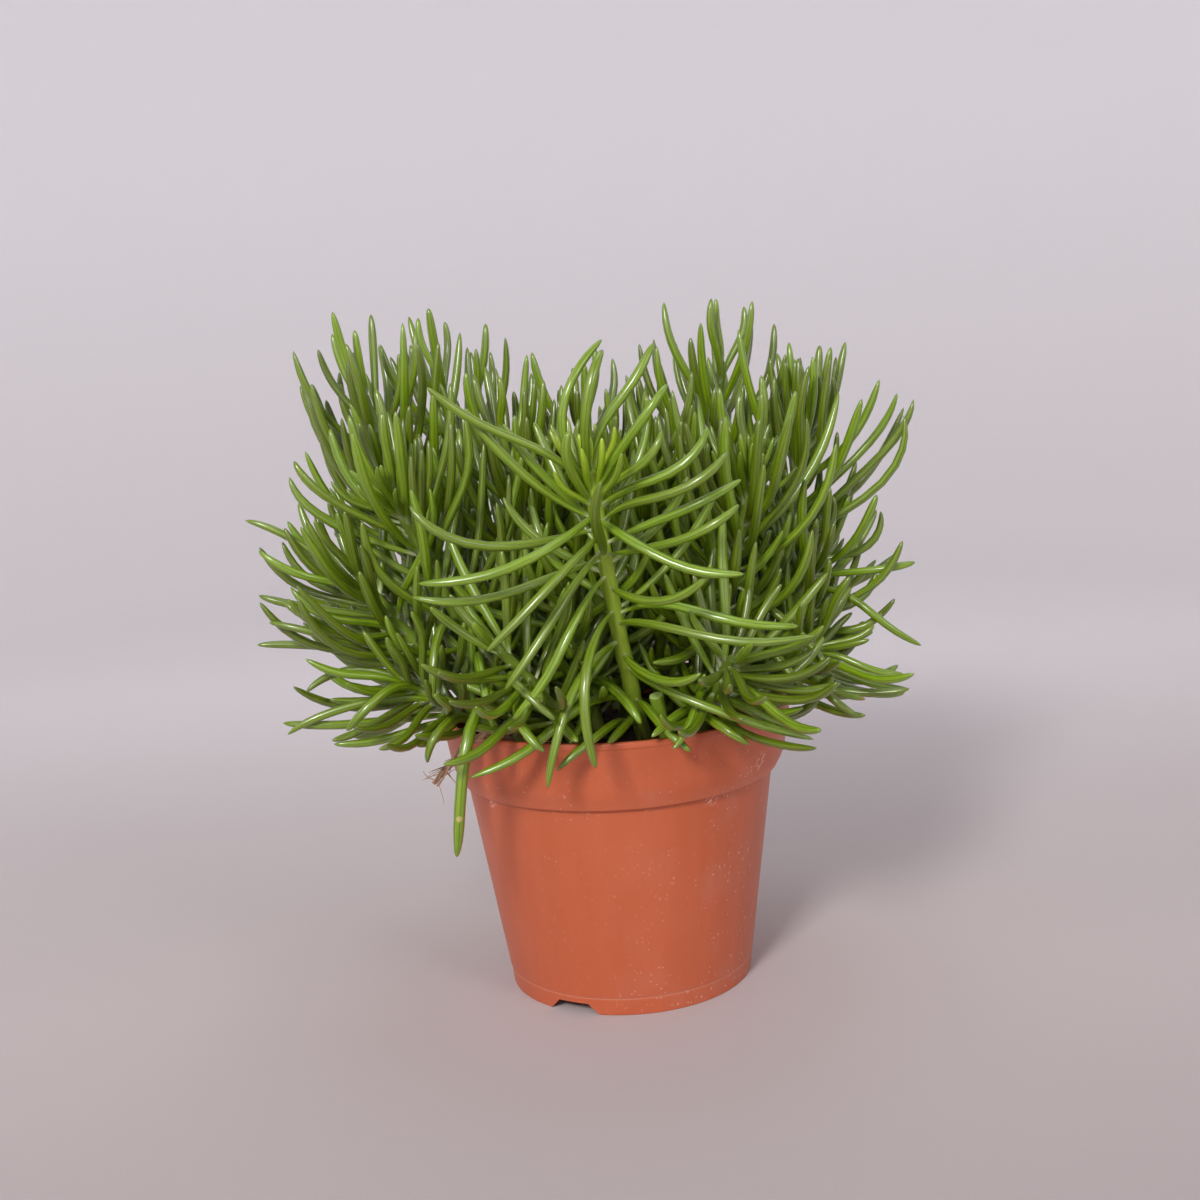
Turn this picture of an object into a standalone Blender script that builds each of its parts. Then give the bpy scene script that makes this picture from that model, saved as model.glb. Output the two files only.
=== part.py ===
"""A finger-leaved succulent in a tapered plastic nursery pot.

The pot is a thin shell on a notched foot ring, filled with soil. The leafy stems stand in plain
holes in the soil. Every leafy stem is one solid: the stem and its finger leaves, which follow a
golden-angle spiral, turn up towards the light and bend clear of the leaves of the other stems.
"""

import math
import random

import bmesh
import bpy
import numpy as np
from mathutils import Vector

MM = 0.001
UP = np.array((0.0, 0.0, 1.0))

# Pot: a 12 cm nursery pot with a wide rim band
RIM_RADIUS = 60.0 * MM
RIM_LIP = 1.2 * MM
RIM_WALL = 1.95 * MM
RIM_EASE = 0.4 * MM
POT_HEIGHT = 97.0 * MM
BAND_FOOT_RADIUS = 57.0 * MM
BAND_FOOT_Z = 78.5 * MM
STEP_RADIUS = 52.6 * MM
STEP_Z = 73.0 * MM
STEP_LEDGE = (2.0 * MM, 1.6 * MM)
STEP_EASE = 1.0 * MM
FOOT_RADIUS = 42.0 * MM
FOOT_RING = (39.9 * MM, 41.8 * MM)
FOOT_DRAFT = 0.3 * MM
FOOT_BAND_Z = 6.0 * MM
FOOT_BAND_INSET = 0.35 * MM
WALL = 1.3 * MM
FLOOR_UNDERSIDE_Z = 5.0 * MM
POT_SIDES = 40

# Gaps in the foot ring, with sloping sides. Azimuth 0 is the front, counted to the left.
NOTCH_AZIMUTHS = (29.0, 209.0)
NOTCH_WIDTH_BOTTOM = 18.5 * MM
NOTCH_WIDTH_TOP = 11.5 * MM
NOTCH_HEIGHT = 3.8 * MM
NOTCH_BELOW = 0.6 * MM
NOTCH_REACH = (34.0 * MM, 46.0 * MM)

# Drain holes in the floor
DRAIN_HOLES = 6
DRAIN_HOLE_RADIUS = 3.5 * MM
DRAIN_HOLE_SIDES = 8
DRAIN_CIRCLE_RADIUS = 28.0 * MM

# Soil: a low mound, with a gap to the pot and to everything that stands in it
SOIL_EDGE_Z = 86.0 * MM
SOIL_TOP = 88.0 * MM
SOIL_MOUND_RADIUS = 34.0 * MM
SOIL_SIDES = 24
WELL_SIDES = 5
GAP = 0.3 * MM

# Stems
STEM_DEPTH = 16.0 * MM
STEM_NECK = 1.5 * MM
STEM_BASE_RADIUS = 2.5 * MM
STEM_TIP_RADIUS = 1.5 * MM
STEM_POINT = 2.5 * MM
TALL_STEM = "front_tall"
TALL_STEM_TIP_RADIUS = 2.1 * MM
STEM_KNEE_REACH = 0.55
STEM_SIDES = 5
STEM_STEPS = 5
STUB_RADIUS = 2.3 * MM
STUB_SIDES = 8

# How far up a stem's knee is, by the height of its tip: low stems arch over the rim, and tall
# stems lean out first and turn up at their ends
KNEE_TIP_HEIGHTS = (125.0 * MM, 165.0 * MM)
KNEE_RISES = (0.7, 0.36)

# Leaves: the section is a triangle, so its corner radius is a little over the leaf's own.
# Widths are shares of that radius, at shares of the leaf's length.
LEAF_CORNER_RADIUS = 2.1 * MM
LEAF_SIDES = 3
LEAF_WIDTH_AT = (0.0, 0.22, 0.55, 0.87, 1.0)
LEAF_WIDTHS = (0.43, 0.86, 1.0, 0.8, 0.0)
LEAF_RINGS = (0.0, 0.28, 0.58, 0.87, 1.0)
SHORT_LEAF_RINGS = (0.0, 0.4, 0.84, 1.0)
SHORT_LEAF = 38.0 * MM
SHORT_LEAF_SLIMNESS = 0.28
LENGTH_SHARES = (0.84, 1.04)

# The leaf spiral: leaves stand wide open low on the stem and close up round its tip
GOLDEN_ANGLE = math.radians(137.508)
OPEN_ANGLE = math.radians(84)
ANGLE_DROP = math.radians(30)
YOUNG_FROM = 0.72
YOUNG_CLOSING = math.radians(38)
YOUNG_SHORTNESS = 0.62
YOUNG_POWER = 1.6
LIFT_POWER = 1.4
CURVE_STEPS = 12

# A leaf that would touch another tries again, each time with more play
SEED = 5
ATTEMPTS = 22
FIRST_PLAY = 0.25
TURN_PLAY = 0.75
ANGLE_PLAY = (-0.5, 0.3)
LIFT_SHARES = (0.8, 1.2)
LIFT_PLAY = (-0.3, 0.8)
SWAY_PLAY = 0.45
LENGTH_PLAY = (0.86, 1.08)
LAST_LENGTH = 0.65
LEAF_GAP = 0.45 * MM
OWN_STEM_GAP = -0.9 * MM
OWN_STEM_SHARE = 0.3
BALL_SPACING = 2.0 * MM
NEAR = 8.0 * MM

# The leaves keep above the rim, and this far to either side of the front of the tall stem
LOWEST_LEAF = 95.0 * MM
TALL_STEM_CLEARANCE = 6.0 * MM
TALL_STEM_STEPS = 24

# Every leafy stem: name, where it leaves the soil, its growing tip, number of leaves, the bare
# share below them, how strongly they turn upwards, and the length of a full-grown leaf. All
# lengths in millimetres.
STEMS = (
    ("front_tall", (9, -27), (-3, -66, 181), 18, 0.45, 0.9, 50),
    ("left_crown", (-24, -14), (-66, -34, 176), 28, 0.15, 2.6, 62),
    ("right_crown", (22, -11), (48, -30, 174), 27, 0.2, 2.5, 62),
    ("left_reach", (-37, -14), (-80, -28, 150), 20, 0.15, 1.2, 56),
    ("right_reach", (38, -5), (72, -6, 144), 18, 0.15, 1.8, 50),
    ("front_left", (-12, -36), (-34, -60, 128), 18, 0.12, 0.4, 52),
    ("front_right", (26, -33), (36, -64, 122), 15, 0.12, 0.4, 50),
    ("left_low", (-31, -26), (-66, -38, 114), 10, 0.3, 0.4, 46),
    ("right_low", (37, -18), (66, -22, 115), 12, 0.3, 0.3, 46),
    ("right_back_crown", (29, 9), (73, 8, 188), 28, 0.25, 2.5, 60),
    ("back_right_crown", (15, 20), (45, 29, 207), 28, 0.3, 2.5, 60),
    ("centre", (3, 2), (16, -4, 180), 18, 0.25, 2.5, 56),
    ("centre_left", (-13, 8), (-32, 2, 190), 23, 0.25, 2.7, 56),
    ("left_back_crown", (-29, 9), (-78, 10, 205), 28, 0.25, 2.5, 62),
    ("back_left_crown", (-17, 29), (-55, 40, 207), 24, 0.25, 2.7, 60),
    ("back_right", (19, 38), (34, 72, 164), 16, 0.2, 1.3, 56),
    ("back_tall", (1, 24), (-6, 40, 190), 20, 0.25, 2.7, 56),
    ("back_low", (-3, 41), (-6, 86, 132), 15, 0.25, 0.6, 52),
    ("left_back_low", (-34, 25), (-80, 42, 136), 16, 0.2, 0.7, 54),
    ("right_back_low", (35, 23), (68, 44, 134), 15, 0.2, 1.0, 50),
    ("front_inner", (-6, -13), (-14, -40, 142), 16, 0.12, 0.8, 50),
    ("right_inner", (18, 4), (27, -34, 136), 14, 0.12, 0.8, 50),
)

# Leaves that stand out on the real plant: the stem, the share of its height where the leaf
# starts, a point halfway along the leaf, and its tip, in millimetres.
FEATURE_LEAVES = (
    # the tall stem in front: up from its head
    ("front_tall", 0.96, (-10, -72, 199), (3, -64, 220)),
    ("front_tall", 0.97, (-3, -75, 201), (3, -69, 217)),
    ("front_tall", 0.98, (6, -68, 202), (18, -64, 218)),
    ("front_tall", 0.94, (12, -75, 196), (21, -72, 206)),
    ("front_tall", 0.91, (-9, -76, 185), (-8, -80, 195)),
    ("front_tall", 0.76, (-2, -76, 166), (0, -90, 181)),
    # to the left, from the top down
    ("front_tall", 0.95, (-25, -74, 194), (-48, -78, 210)),
    ("front_tall", 0.87, (-24, -70, 184), (-38, -72, 203)),
    ("front_tall", 0.85, (-34, -82, 164), (-55, -84, 177)),
    ("front_tall", 0.90, (-21, -86, 160), (-54, -88, 155)),
    ("front_tall", 0.76, (-30, -77, 149), (-57, -80, 150)),
    ("front_tall", 0.83, (-15, -86, 153), (-36, -89, 134)),
    ("front_tall", 0.79, (-19, -80, 138), (-32, -82, 121)),
    ("front_tall", 0.71, (-15, -75, 131), (-31, -74, 110)),
    ("front_tall", 0.59, (-8, -76, 124), (-7, -80, 95)),
    ("front_tall", 0.48, (-15, -70, 112), (-22, -74, 88)),
    ("front_tall", 0.20, (-18, -58, 104), (-46, -67, 91)),
    # to the right, from the top down
    ("front_tall", 0.93, (12, -78, 185), (18, -78, 193)),
    ("front_tall", 0.90, (19, -73, 181), (32, -70, 193)),
    ("front_tall", 0.86, (19, -80, 176), (37, -78, 186)),
    ("front_tall", 0.80, (22, -73, 169), (41, -71, 177)),
    ("front_tall", 0.77, (22, -81, 162), (39, -82, 171)),
    ("front_tall", 0.88, (15, -84, 158), (39, -90, 152)),
    ("front_tall", 0.67, (14, -78, 144), (30, -86, 153)),
    ("front_tall", 0.57, (27, -68, 138), (56, -70, 132)),
    ("front_tall", 0.54, (24, -76, 133), (60, -80, 131)),
    ("front_tall", 0.43, (13, -66, 118), (26, -76, 121)),
    ("front_tall", 0.37, (23, -64, 110), (59, -70, 97)),
    ("front_tall", 0.22, (12, -54, 103), (22, -64, 94)),
    # out at the left, from the top down
    ("left_crown", 0.86, (-84, -42, 176), (-94, -44, 189)),
    ("left_crown", 0.80, (-88, -32, 169), (-98, -32, 183)),
    ("left_reach", 0.72, (-94, -30, 159), (-114, -30, 170)),
    ("left_reach", 0.85, (-90, -36, 150), (-109, -38, 161)),
    ("left_reach", 0.75, (-97, -26, 140), (-113, -26, 145)),
    ("left_reach", 0.64, (-86, -36, 138), (-100, -38, 149)),
    ("left_reach", 0.58, (-89, -30, 133), (-105, -30, 144)),
    ("left_reach", 0.52, (-96, -20, 126), (-116, -22, 128)),
    ("left_reach", 0.42, (-85, -36, 130), (-108, -38, 138)),
    ("left_low", 0.90, (-81, -44, 121), (-96, -46, 127)),
    ("left_low", 0.80, (-71, -50, 116), (-84, -54, 105)),
    ("left_low", 0.70, (-79, -36, 120), (-98, -40, 115)),
    ("left_low", 0.60, (-84, -44, 111), (-104, -46, 103)),
    ("left_low", 0.45, (-80, -40, 104), (-106, -42, 106)),
    ("left_low", 0.35, (-72, -46, 101), (-89, -50, 100)),
    # over the rim at the left
    ("left_low", 0.20, (-44, -59, 108), (-52, -65, 65)),
    ("left_low", 0.28, (-54, -56, 106), (-59, -60, 95)),
    ("left_crown", 0.35, (-42, -50, 123), (-38, -62, 105)),
    ("left_crown", 0.55, (-54, -50, 132), (-56, -56, 114)),
    ("front_tall", 0.08, (-5, -58, 101), (-19, -68, 92)),
    # over the rim at the right
    ("front_right", 0.15, (29, -56, 102), (40, -64, 95)),
    ("front_right", 0.35, (38, -61, 107), (55, -67, 99)),
    ("right_crown", 0.25, (40, -42, 112), (45, -53, 100)),
    ("right_crown", 0.45, (26, -46, 123), (12, -62, 122)),
    ("right_crown", 0.55, (52, -43, 118), (63, -49, 101)),
    ("right_crown", 0.65, (58, -33, 125), (69, -40, 110)),
    # out at the right, from the top down
    ("right_back_crown", 0.66, (90, 6, 178), (101, 4, 195)),
    ("right_back_crown", 0.60, (95, 0, 176), (105, -2, 193)),
    ("right_back_crown", 0.50, (91, -3, 167), (101, -5, 188)),
    ("right_reach", 0.95, (86, -8, 145), (92, -9, 157)),
    ("right_reach", 0.85, (87, -12, 138), (102, -14, 140)),
    ("right_reach", 0.75, (82, -17, 128), (102, -20, 113)),
    ("right_reach", 0.62, (81, 2, 124), (92, 4, 135)),
    ("right_reach", 0.50, (79, -14, 119), (90, -15, 124)),
    ("right_low", 0.90, (77, -28, 111), (94, -30, 106)),
    ("right_low", 0.80, (82, -20, 103), (97, -22, 99)),
    ("right_low", 0.60, (70, -30, 103), (81, -32, 99)),
    ("right_low", 0.70, (66, -38, 106), (77, -44, 96)),
)

# Pruned stem stubs: name, where each leaves the soil, and its cut top, in millimetres
STUBS = (
    ("cut_stub_front", (16, -36), (13, -41, 107)),
    ("cut_stub_right", (35, -27), (41, -33, 101)),
    ("cut_stub_back", (-21, 37), (-23, 43, 104)),
)

# Dry roots that hang over the rim at the left, strand by strand, in millimetres
ROOT_STRANDS = (
    (
        (-31, -36, 89.6),
        (-36, -42, 98.8),
        (-42, -43, 98.5),
        (-47.5, -48, 96.5),
        (-53, -52.5, 91.5),
        (-58, -56, 86.8),
    ),
    ((-36, -42, 98.8), (-30, -44.5, 98.6), (-25, -45, 94)),
    ((-42, -43, 98.5), (-41, -38, 98.7), (-38, -33, 93)),
)
ROOT_RADIUS = 0.9 * MM
ROOT_END_RADIUS = 0.55 * MM
ROOT_SIDES = 5

# Colour and roughness of each kind of piece
LEAF_FINISH = ((0.20, 0.36, 0.045, 1.0), 0.38)
STUB_FINISH = ((0.30, 0.42, 0.09, 1.0), 0.5)
POT_FINISH = ((0.56, 0.15, 0.065, 1.0), 0.45)
SOIL_FINISH = ((0.035, 0.022, 0.014, 1.0), 0.95)
ROOT_FINISH = ((0.30, 0.17, 0.10, 1.0), 0.9)


def millimetres(point):
    """A point given in millimetres, as an array in metres."""
    return np.array(point, float) * MM


def unit(vector):
    return vector / np.linalg.norm(vector)


def clear_scene():
    for obj in list(bpy.data.objects):
        bpy.data.objects.remove(obj)


def object_from(name, bm, finish=None):
    """One object from a finished bmesh, with its faces pointing out."""
    bmesh.ops.recalc_face_normals(bm, faces=bm.faces)
    mesh = bpy.data.meshes.new(name)
    bm.to_mesh(mesh)
    bm.free()
    obj = bpy.data.objects.new(name, mesh)
    bpy.context.scene.collection.objects.link(obj)
    if finish:
        surface = bpy.data.materials.new(name + "_surface")
        surface.use_nodes = True
        shader = surface.node_tree.nodes["Principled BSDF"]
        shader.inputs["Base Color"].default_value = finish[0]
        shader.inputs["Roughness"].default_value = finish[1]
        shader.inputs["Metallic"].default_value = 0.0
        mesh.materials.append(surface)
    return obj


def turned(name, profile, sides, finish):
    """A solid turned about Z from a profile that starts and ends on the axis."""
    bm = bmesh.new()
    points = [bm.verts.new((radius, 0.0, z)) for radius, z in profile]
    edges = [bm.edges.new(pair) for pair in zip(points, points[1:])]
    bmesh.ops.spin(
        bm,
        geom=points + edges,
        cent=(0, 0, 0),
        axis=(0, 0, 1),
        angle=2 * math.pi,
        steps=sides,
        use_merge=True,
    )
    bmesh.ops.remove_doubles(bm, verts=bm.verts, dist=1e-6)
    return object_from(name, bm, finish)


def tube_rings(bm, points, radii, sides):
    """Rings of vertices square to a line of points, turned as little as possible between rings."""
    rings = []
    side = None
    last = len(points) - 1
    for i, point in enumerate(points):
        ahead = unit(points[min(i + 1, last)] - points[max(i - 1, 0)])
        if side is None:
            side = np.cross(ahead, UP if abs(ahead[2]) < 0.9 else np.array((1.0, 0.0, 0.0)))
        side = unit(side - ahead * np.dot(side, ahead))
        other = np.cross(ahead, side)
        ring = []
        for k in range(sides):
            angle = 2 * math.pi * k / sides
            corner = point + radii[i] * (math.cos(angle) * side + math.sin(angle) * other)
            ring.append(bm.verts.new(corner))
        rings.append(ring)
    return rings


def tube(points, radii, sides, pointed=False):
    """A closed tube as a bmesh. Where it is pointed, its last point is a single vertex."""
    bm = bmesh.new()
    rings = tube_rings(bm, points[:-1] if pointed else points, radii, sides)
    for low, high in zip(rings, rings[1:]):
        for k in range(sides):
            bm.faces.new((low[k], low[(k + 1) % sides], high[(k + 1) % sides], high[k]))
    bm.faces.new(rings[0])
    if pointed:
        tip = bm.verts.new(points[-1])
        for k in range(sides):
            bm.faces.new((rings[-1][k], rings[-1][(k + 1) % sides], tip))
    else:
        bm.faces.new(rings[-1])
    return bm


def combine(obj, others, operation):
    """Joins others to obj, or cuts them from it, in one Boolean, and removes them."""
    group = bpy.data.collections.new(obj.name + "_group")
    bpy.context.scene.collection.children.link(group)
    for other in others:
        bpy.context.scene.collection.objects.unlink(other)
        group.objects.link(other)
    modifier = obj.modifiers.new("combine", "BOOLEAN")
    modifier.operation = operation
    modifier.operand_type = "COLLECTION"
    modifier.collection = group
    graph = bpy.context.evaluated_depsgraph_get()
    made = bpy.data.meshes.new_from_object(obj.evaluated_get(graph))
    obj.modifiers.clear()
    obj.data = made
    for other in others:
        bpy.data.objects.remove(other)
    bpy.data.collections.remove(group)


def shade_round(obj):
    """Smooth shading, with the creases kept."""
    obj.data.shade_smooth()
    obj.data.set_sharp_from_angle(angle=math.radians(30))


def balls_along(points, radii):
    """Points at even spacing along a line of points, with the radius there."""
    steps = np.linalg.norm(np.diff(points, axis=0), axis=1)
    along = np.concatenate(([0.0], np.cumsum(steps)))
    count = max(int(along[-1] / BALL_SPACING), 2)
    at = np.linspace(0, along[-1], count + 1)
    centres = np.stack([np.interp(at, along, points[:, k]) for k in range(3)], axis=1)
    return centres, np.interp(at, along, radii)


class Room:
    """The space already taken, as balls along every stem, leaf, stub and root."""

    def __init__(self):
        self.centres = np.zeros((0, 3))
        self.radii = np.zeros(0)
        self.owners = np.zeros(0, int)

    def take(self, centres, radii, owner):
        self.centres = np.vstack((self.centres, centres))
        self.radii = np.concatenate((self.radii, radii))
        self.owners = np.concatenate((self.owners, np.full(len(radii), owner)))

    def is_free(self, centres, radii, owner):
        """True if the balls keep their gap to the rest. Leaves of one stem meet at its bark."""
        low = centres.min(axis=0) - NEAR
        high = centres.max(axis=0) + NEAR
        near = ((self.centres > low) & (self.centres < high)).all(axis=1)
        apart = np.linalg.norm(centres[:, None] - self.centres[near][None], axis=2)
        gaps = apart - radii[:, None] - self.radii[near][None]
        own = self.owners[near] == owner
        outer = max(int(len(radii) * OWN_STEM_SHARE), 2)
        clear_of_others = (gaps[:, ~own] > LEAF_GAP).all()
        return clear_of_others and (gaps[outer:, own] > OWN_STEM_GAP).all()


def is_clear_of_pot(centres, radii):
    """True if the balls keep a gap to the pot and its soil, taken as one closed outline."""
    outline = np.array(
        (
            (0.0, 0.0),
            (FOOT_RADIUS, 0.0),
            (STEP_RADIUS, STEP_Z),
            (BAND_FOOT_RADIUS, BAND_FOOT_Z),
            (RIM_RADIUS, POT_HEIGHT),
            (RIM_RADIUS - 2 * WALL, POT_HEIGHT),
            (BAND_FOOT_RADIUS - WALL, SOIL_EDGE_Z),
            (0.0, SOIL_TOP),
        )
    )
    flat = np.stack((np.hypot(centres[:, 0], centres[:, 1]), centres[:, 2]), axis=1)
    nearest = np.full(len(flat), np.inf)
    inside = np.zeros(len(flat), bool)
    for start, end in zip(outline, np.roll(outline, -1, axis=0)):
        along = end - start
        share = np.clip((flat - start) @ along / (along @ along), 0, 1)
        apart = np.linalg.norm(flat - start - share[:, None] * along, axis=1)
        nearest = np.minimum(nearest, apart)
        if along[1]:
            crosses = (start[1] > flat[:, 1]) != (end[1] > flat[:, 1])
            at = start[0] + along[0] * (flat[:, 1] - start[1]) / along[1]
            inside ^= crosses & (flat[:, 0] < at)
    return not inside.any() and (nearest - radii > 2 * GAP).all()


class Stem:
    """A stem's centreline. It leaves the soil upright, leans out and turns up again."""

    def __init__(self, number, name, root, tip):
        self.number = number
        self.name = name
        foot, neck = foot_and_neck(root)
        tip = millimetres(tip)
        rise = np.interp(tip[2], KNEE_TIP_HEIGHTS, KNEE_RISES)
        knee = neck + (tip - neck) * np.array((STEM_KNEE_REACH, STEM_KNEE_REACH, rise))
        self.bend = (neck, knee, tip)
        shares = np.linspace(0, 1, STEM_STEPS + 1)
        self.points = np.vstack([foot] + [self.at(share)[0] for share in shares])
        tip_radius = TALL_STEM_TIP_RADIUS if name == TALL_STEM else STEM_TIP_RADIUS
        bend_radii = STEM_BASE_RADIUS + (tip_radius - STEM_BASE_RADIUS) * shares
        self.radii = np.concatenate(([STEM_BASE_RADIUS], bend_radii))

    def at(self, share):
        """The point and the direction at a share of the way from the soil to the tip."""
        neck, knee, tip = self.bend
        point = (1 - share) ** 2 * neck + 2 * share * (1 - share) * knee + share**2 * tip
        ahead = (1 - share) * (knee - neck) + share * (tip - knee)
        return point, unit(ahead)


def foot_and_neck(root):
    """The buried end of a stem, and the point where it leaves the soil."""
    surface = np.array((root[0] * MM, root[1] * MM, SOIL_TOP))
    return surface - STEM_DEPTH * UP, surface + STEM_NECK * UP


class Leaf:
    """A leaf's centreline from the middle of the stem to its tip, and its radius on the way."""

    def __init__(self, curve):
        steps = np.linalg.norm(np.diff(curve, axis=0), axis=1)
        along = np.concatenate(([0.0], np.cumsum(steps)))
        length = along[-1]
        shares = np.array(LEAF_RINGS if length > SHORT_LEAF else SHORT_LEAF_RINGS)
        at = shares * length
        self.points = np.stack([np.interp(at, along, curve[:, k]) for k in range(3)], axis=1)
        slimness = SHORT_LEAF_SLIMNESS * (1 - min(length / SHORT_LEAF, 1.0))
        full = LEAF_CORNER_RADIUS * (1 - slimness)
        self.radii = full * np.interp(shares, LEAF_WIDTH_AT, LEAF_WIDTHS)

    def balls(self):
        return balls_along(self.points, self.radii)


def spiral_leaf(stem, share, azimuth, spread, lift, sway, length):
    """A leaf that leaves the stem at an angle of spread and turns upwards as it grows."""
    start, ahead = stem.at(share)
    across = unit(np.cross(ahead, np.array((0.0, 1.0, 0.0))))
    over = np.cross(ahead, across)
    radial = math.cos(azimuth) * across + math.sin(azimuth) * over
    side = np.cross(ahead, radial)
    first = math.cos(spread) * ahead + math.sin(spread) * radial
    curve = [start]
    for step in range(CURVE_STEPS):
        u = (step + 0.5) / CURVE_STEPS
        heading = unit(first + lift * u**LIFT_POWER * UP + sway * u * side)
        curve.append(curve[-1] + heading * length / CURVE_STEPS)
    return Leaf(np.array(curve))


def feature_leaf(stem, share, middle, tip):
    """A leaf from the stem through a chosen middle point to a chosen tip."""
    start = stem.at(share)[0]
    middle = millimetres(middle)
    tip = millimetres(tip)
    pull = 2 * middle - (start + tip) / 2
    shares = np.linspace(0, 1, CURVE_STEPS + 1)[:, None]
    return Leaf((1 - shares) ** 2 * start + 2 * shares * (1 - shares) * pull + shares**2 * tip)


def fits(leaf, stem, room):
    """True if the leaf stays clear of the pot, the soil and everything grown so far."""
    centres, radii = leaf.balls()
    return room.is_free(centres, radii, stem.number) and is_clear_of_pot(centres[1:], radii[1:])


def leaves_view(leaf, tall):
    """True if the leaf keeps above the rim and doesn't cross in front of the tall stem."""
    centres = leaf.balls()[0][1:]
    line = np.array([tall.at(share)[0] for share in np.linspace(0, 1, TALL_STEM_STEPS)])
    beside = np.interp(centres[:, 2], line[:, 2], line[:, 0])
    ahead = np.interp(centres[:, 2], line[:, 2], line[:, 1])
    level = centres[:, 2] < line[-1, 2]
    close = abs(centres[:, 0] - beside) < TALL_STEM_CLEARANCE
    crosses = level & close & (centres[:, 1] < ahead)
    return leaf.points[:, 2].min() > LOWEST_LEAF and not crosses.any()


def grow_leaf(stem, order, count, habit, tall, room, draw):
    """One leaf of the spiral, turned, raised or shortened until it fits, or None."""
    bare, lift, full_length = habit
    share = bare + (1 - bare) * (order + 0.5) / count
    young = max(0.0, (share - YOUNG_FROM) / (1 - YOUNG_FROM))
    youth = young**YOUNG_POWER
    spread = OPEN_ANGLE - ANGLE_DROP * share - YOUNG_CLOSING * youth
    grown = np.interp(share, (0, 1), LENGTH_SHARES) * (1 - YOUNG_SHORTNESS * youth)
    length = full_length * MM * grown
    azimuth = order * GOLDEN_ANGLE + stem.number
    for attempt in range(ATTEMPTS):
        late = attempt / ATTEMPTS
        play = FIRST_PLAY + late
        leaf = spiral_leaf(
            stem,
            share,
            azimuth + draw.uniform(-TURN_PLAY, TURN_PLAY) * play,
            spread + draw.uniform(*ANGLE_PLAY) * play,
            lift * draw.uniform(*LIFT_SHARES) + draw.uniform(*LIFT_PLAY) * play,
            draw.uniform(-SWAY_PLAY, SWAY_PLAY) * play,
            length * draw.uniform(*LENGTH_PLAY) * (1 - (1 - LAST_LENGTH) * late),
        )
        if leaves_view(leaf, tall) and fits(leaf, stem, room):
            return leaf
    return None


def grow_plant():
    """Every stem with its leaves, in one room, so that the leaves of two stems never meet."""
    draw = random.Random(SEED)
    room = Room()
    stems = {row[0]: Stem(i, *row[:3]) for i, row in enumerate(STEMS)}
    leaves = {name: [] for name in stems}
    for stem in stems.values():
        room.take(*balls_along(stem.points, stem.radii), stem.number)
    for number, (_, root, top) in enumerate(STUBS):
        points = stub_points(root, top)
        room.take(*balls_along(points, np.full(3, STUB_RADIUS)), -1 - number)
    for strand in ROOT_STRANDS:
        points = millimetres(strand)
        room.take(*balls_along(points, np.full(len(points), ROOT_RADIUS)), -1 - len(STUBS))

    def keep(name, leaf):
        leaves[name].append(leaf)
        room.take(*leaf.balls(), stems[name].number)

    for name, share, middle, tip in FEATURE_LEAVES:
        leaf = feature_leaf(stems[name], share, middle, tip)
        if fits(leaf, stems[name], room):
            keep(name, leaf)
    for turn in range(max(row[3] for row in STEMS)):
        for name, _, _, count, bare, lift, full_length in STEMS:
            order = count - 1 - turn
            if order < 0:
                continue
            habit = (bare, lift, full_length)
            leaf = grow_leaf(stems[name], order, count, habit, stems[TALL_STEM], room, draw)
            if leaf:
                keep(name, leaf)
    return stems, leaves


def stub_points(root, top):
    """The centreline of a cut stub, from its buried end to its cut top."""
    return np.vstack((*foot_and_neck(root), millimetres(top)))


def leafy_stem(stem, leaves):
    """The stem and its leaves as one solid."""
    points = np.vstack((stem.points, stem.points[-1] + stem.at(1.0)[1] * STEM_POINT))
    bark = tube(points, stem.radii, STEM_SIDES, pointed=True)
    whole = object_from("leafy_stem_" + stem.name, bark, LEAF_FINISH)
    blades = [
        object_from(f"leaf_{k}", tube(leaf.points, leaf.radii, LEAF_SIDES, pointed=True))
        for k, leaf in enumerate(leaves)
    ]
    combine(whole, blades, "UNION")
    return whole


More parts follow.
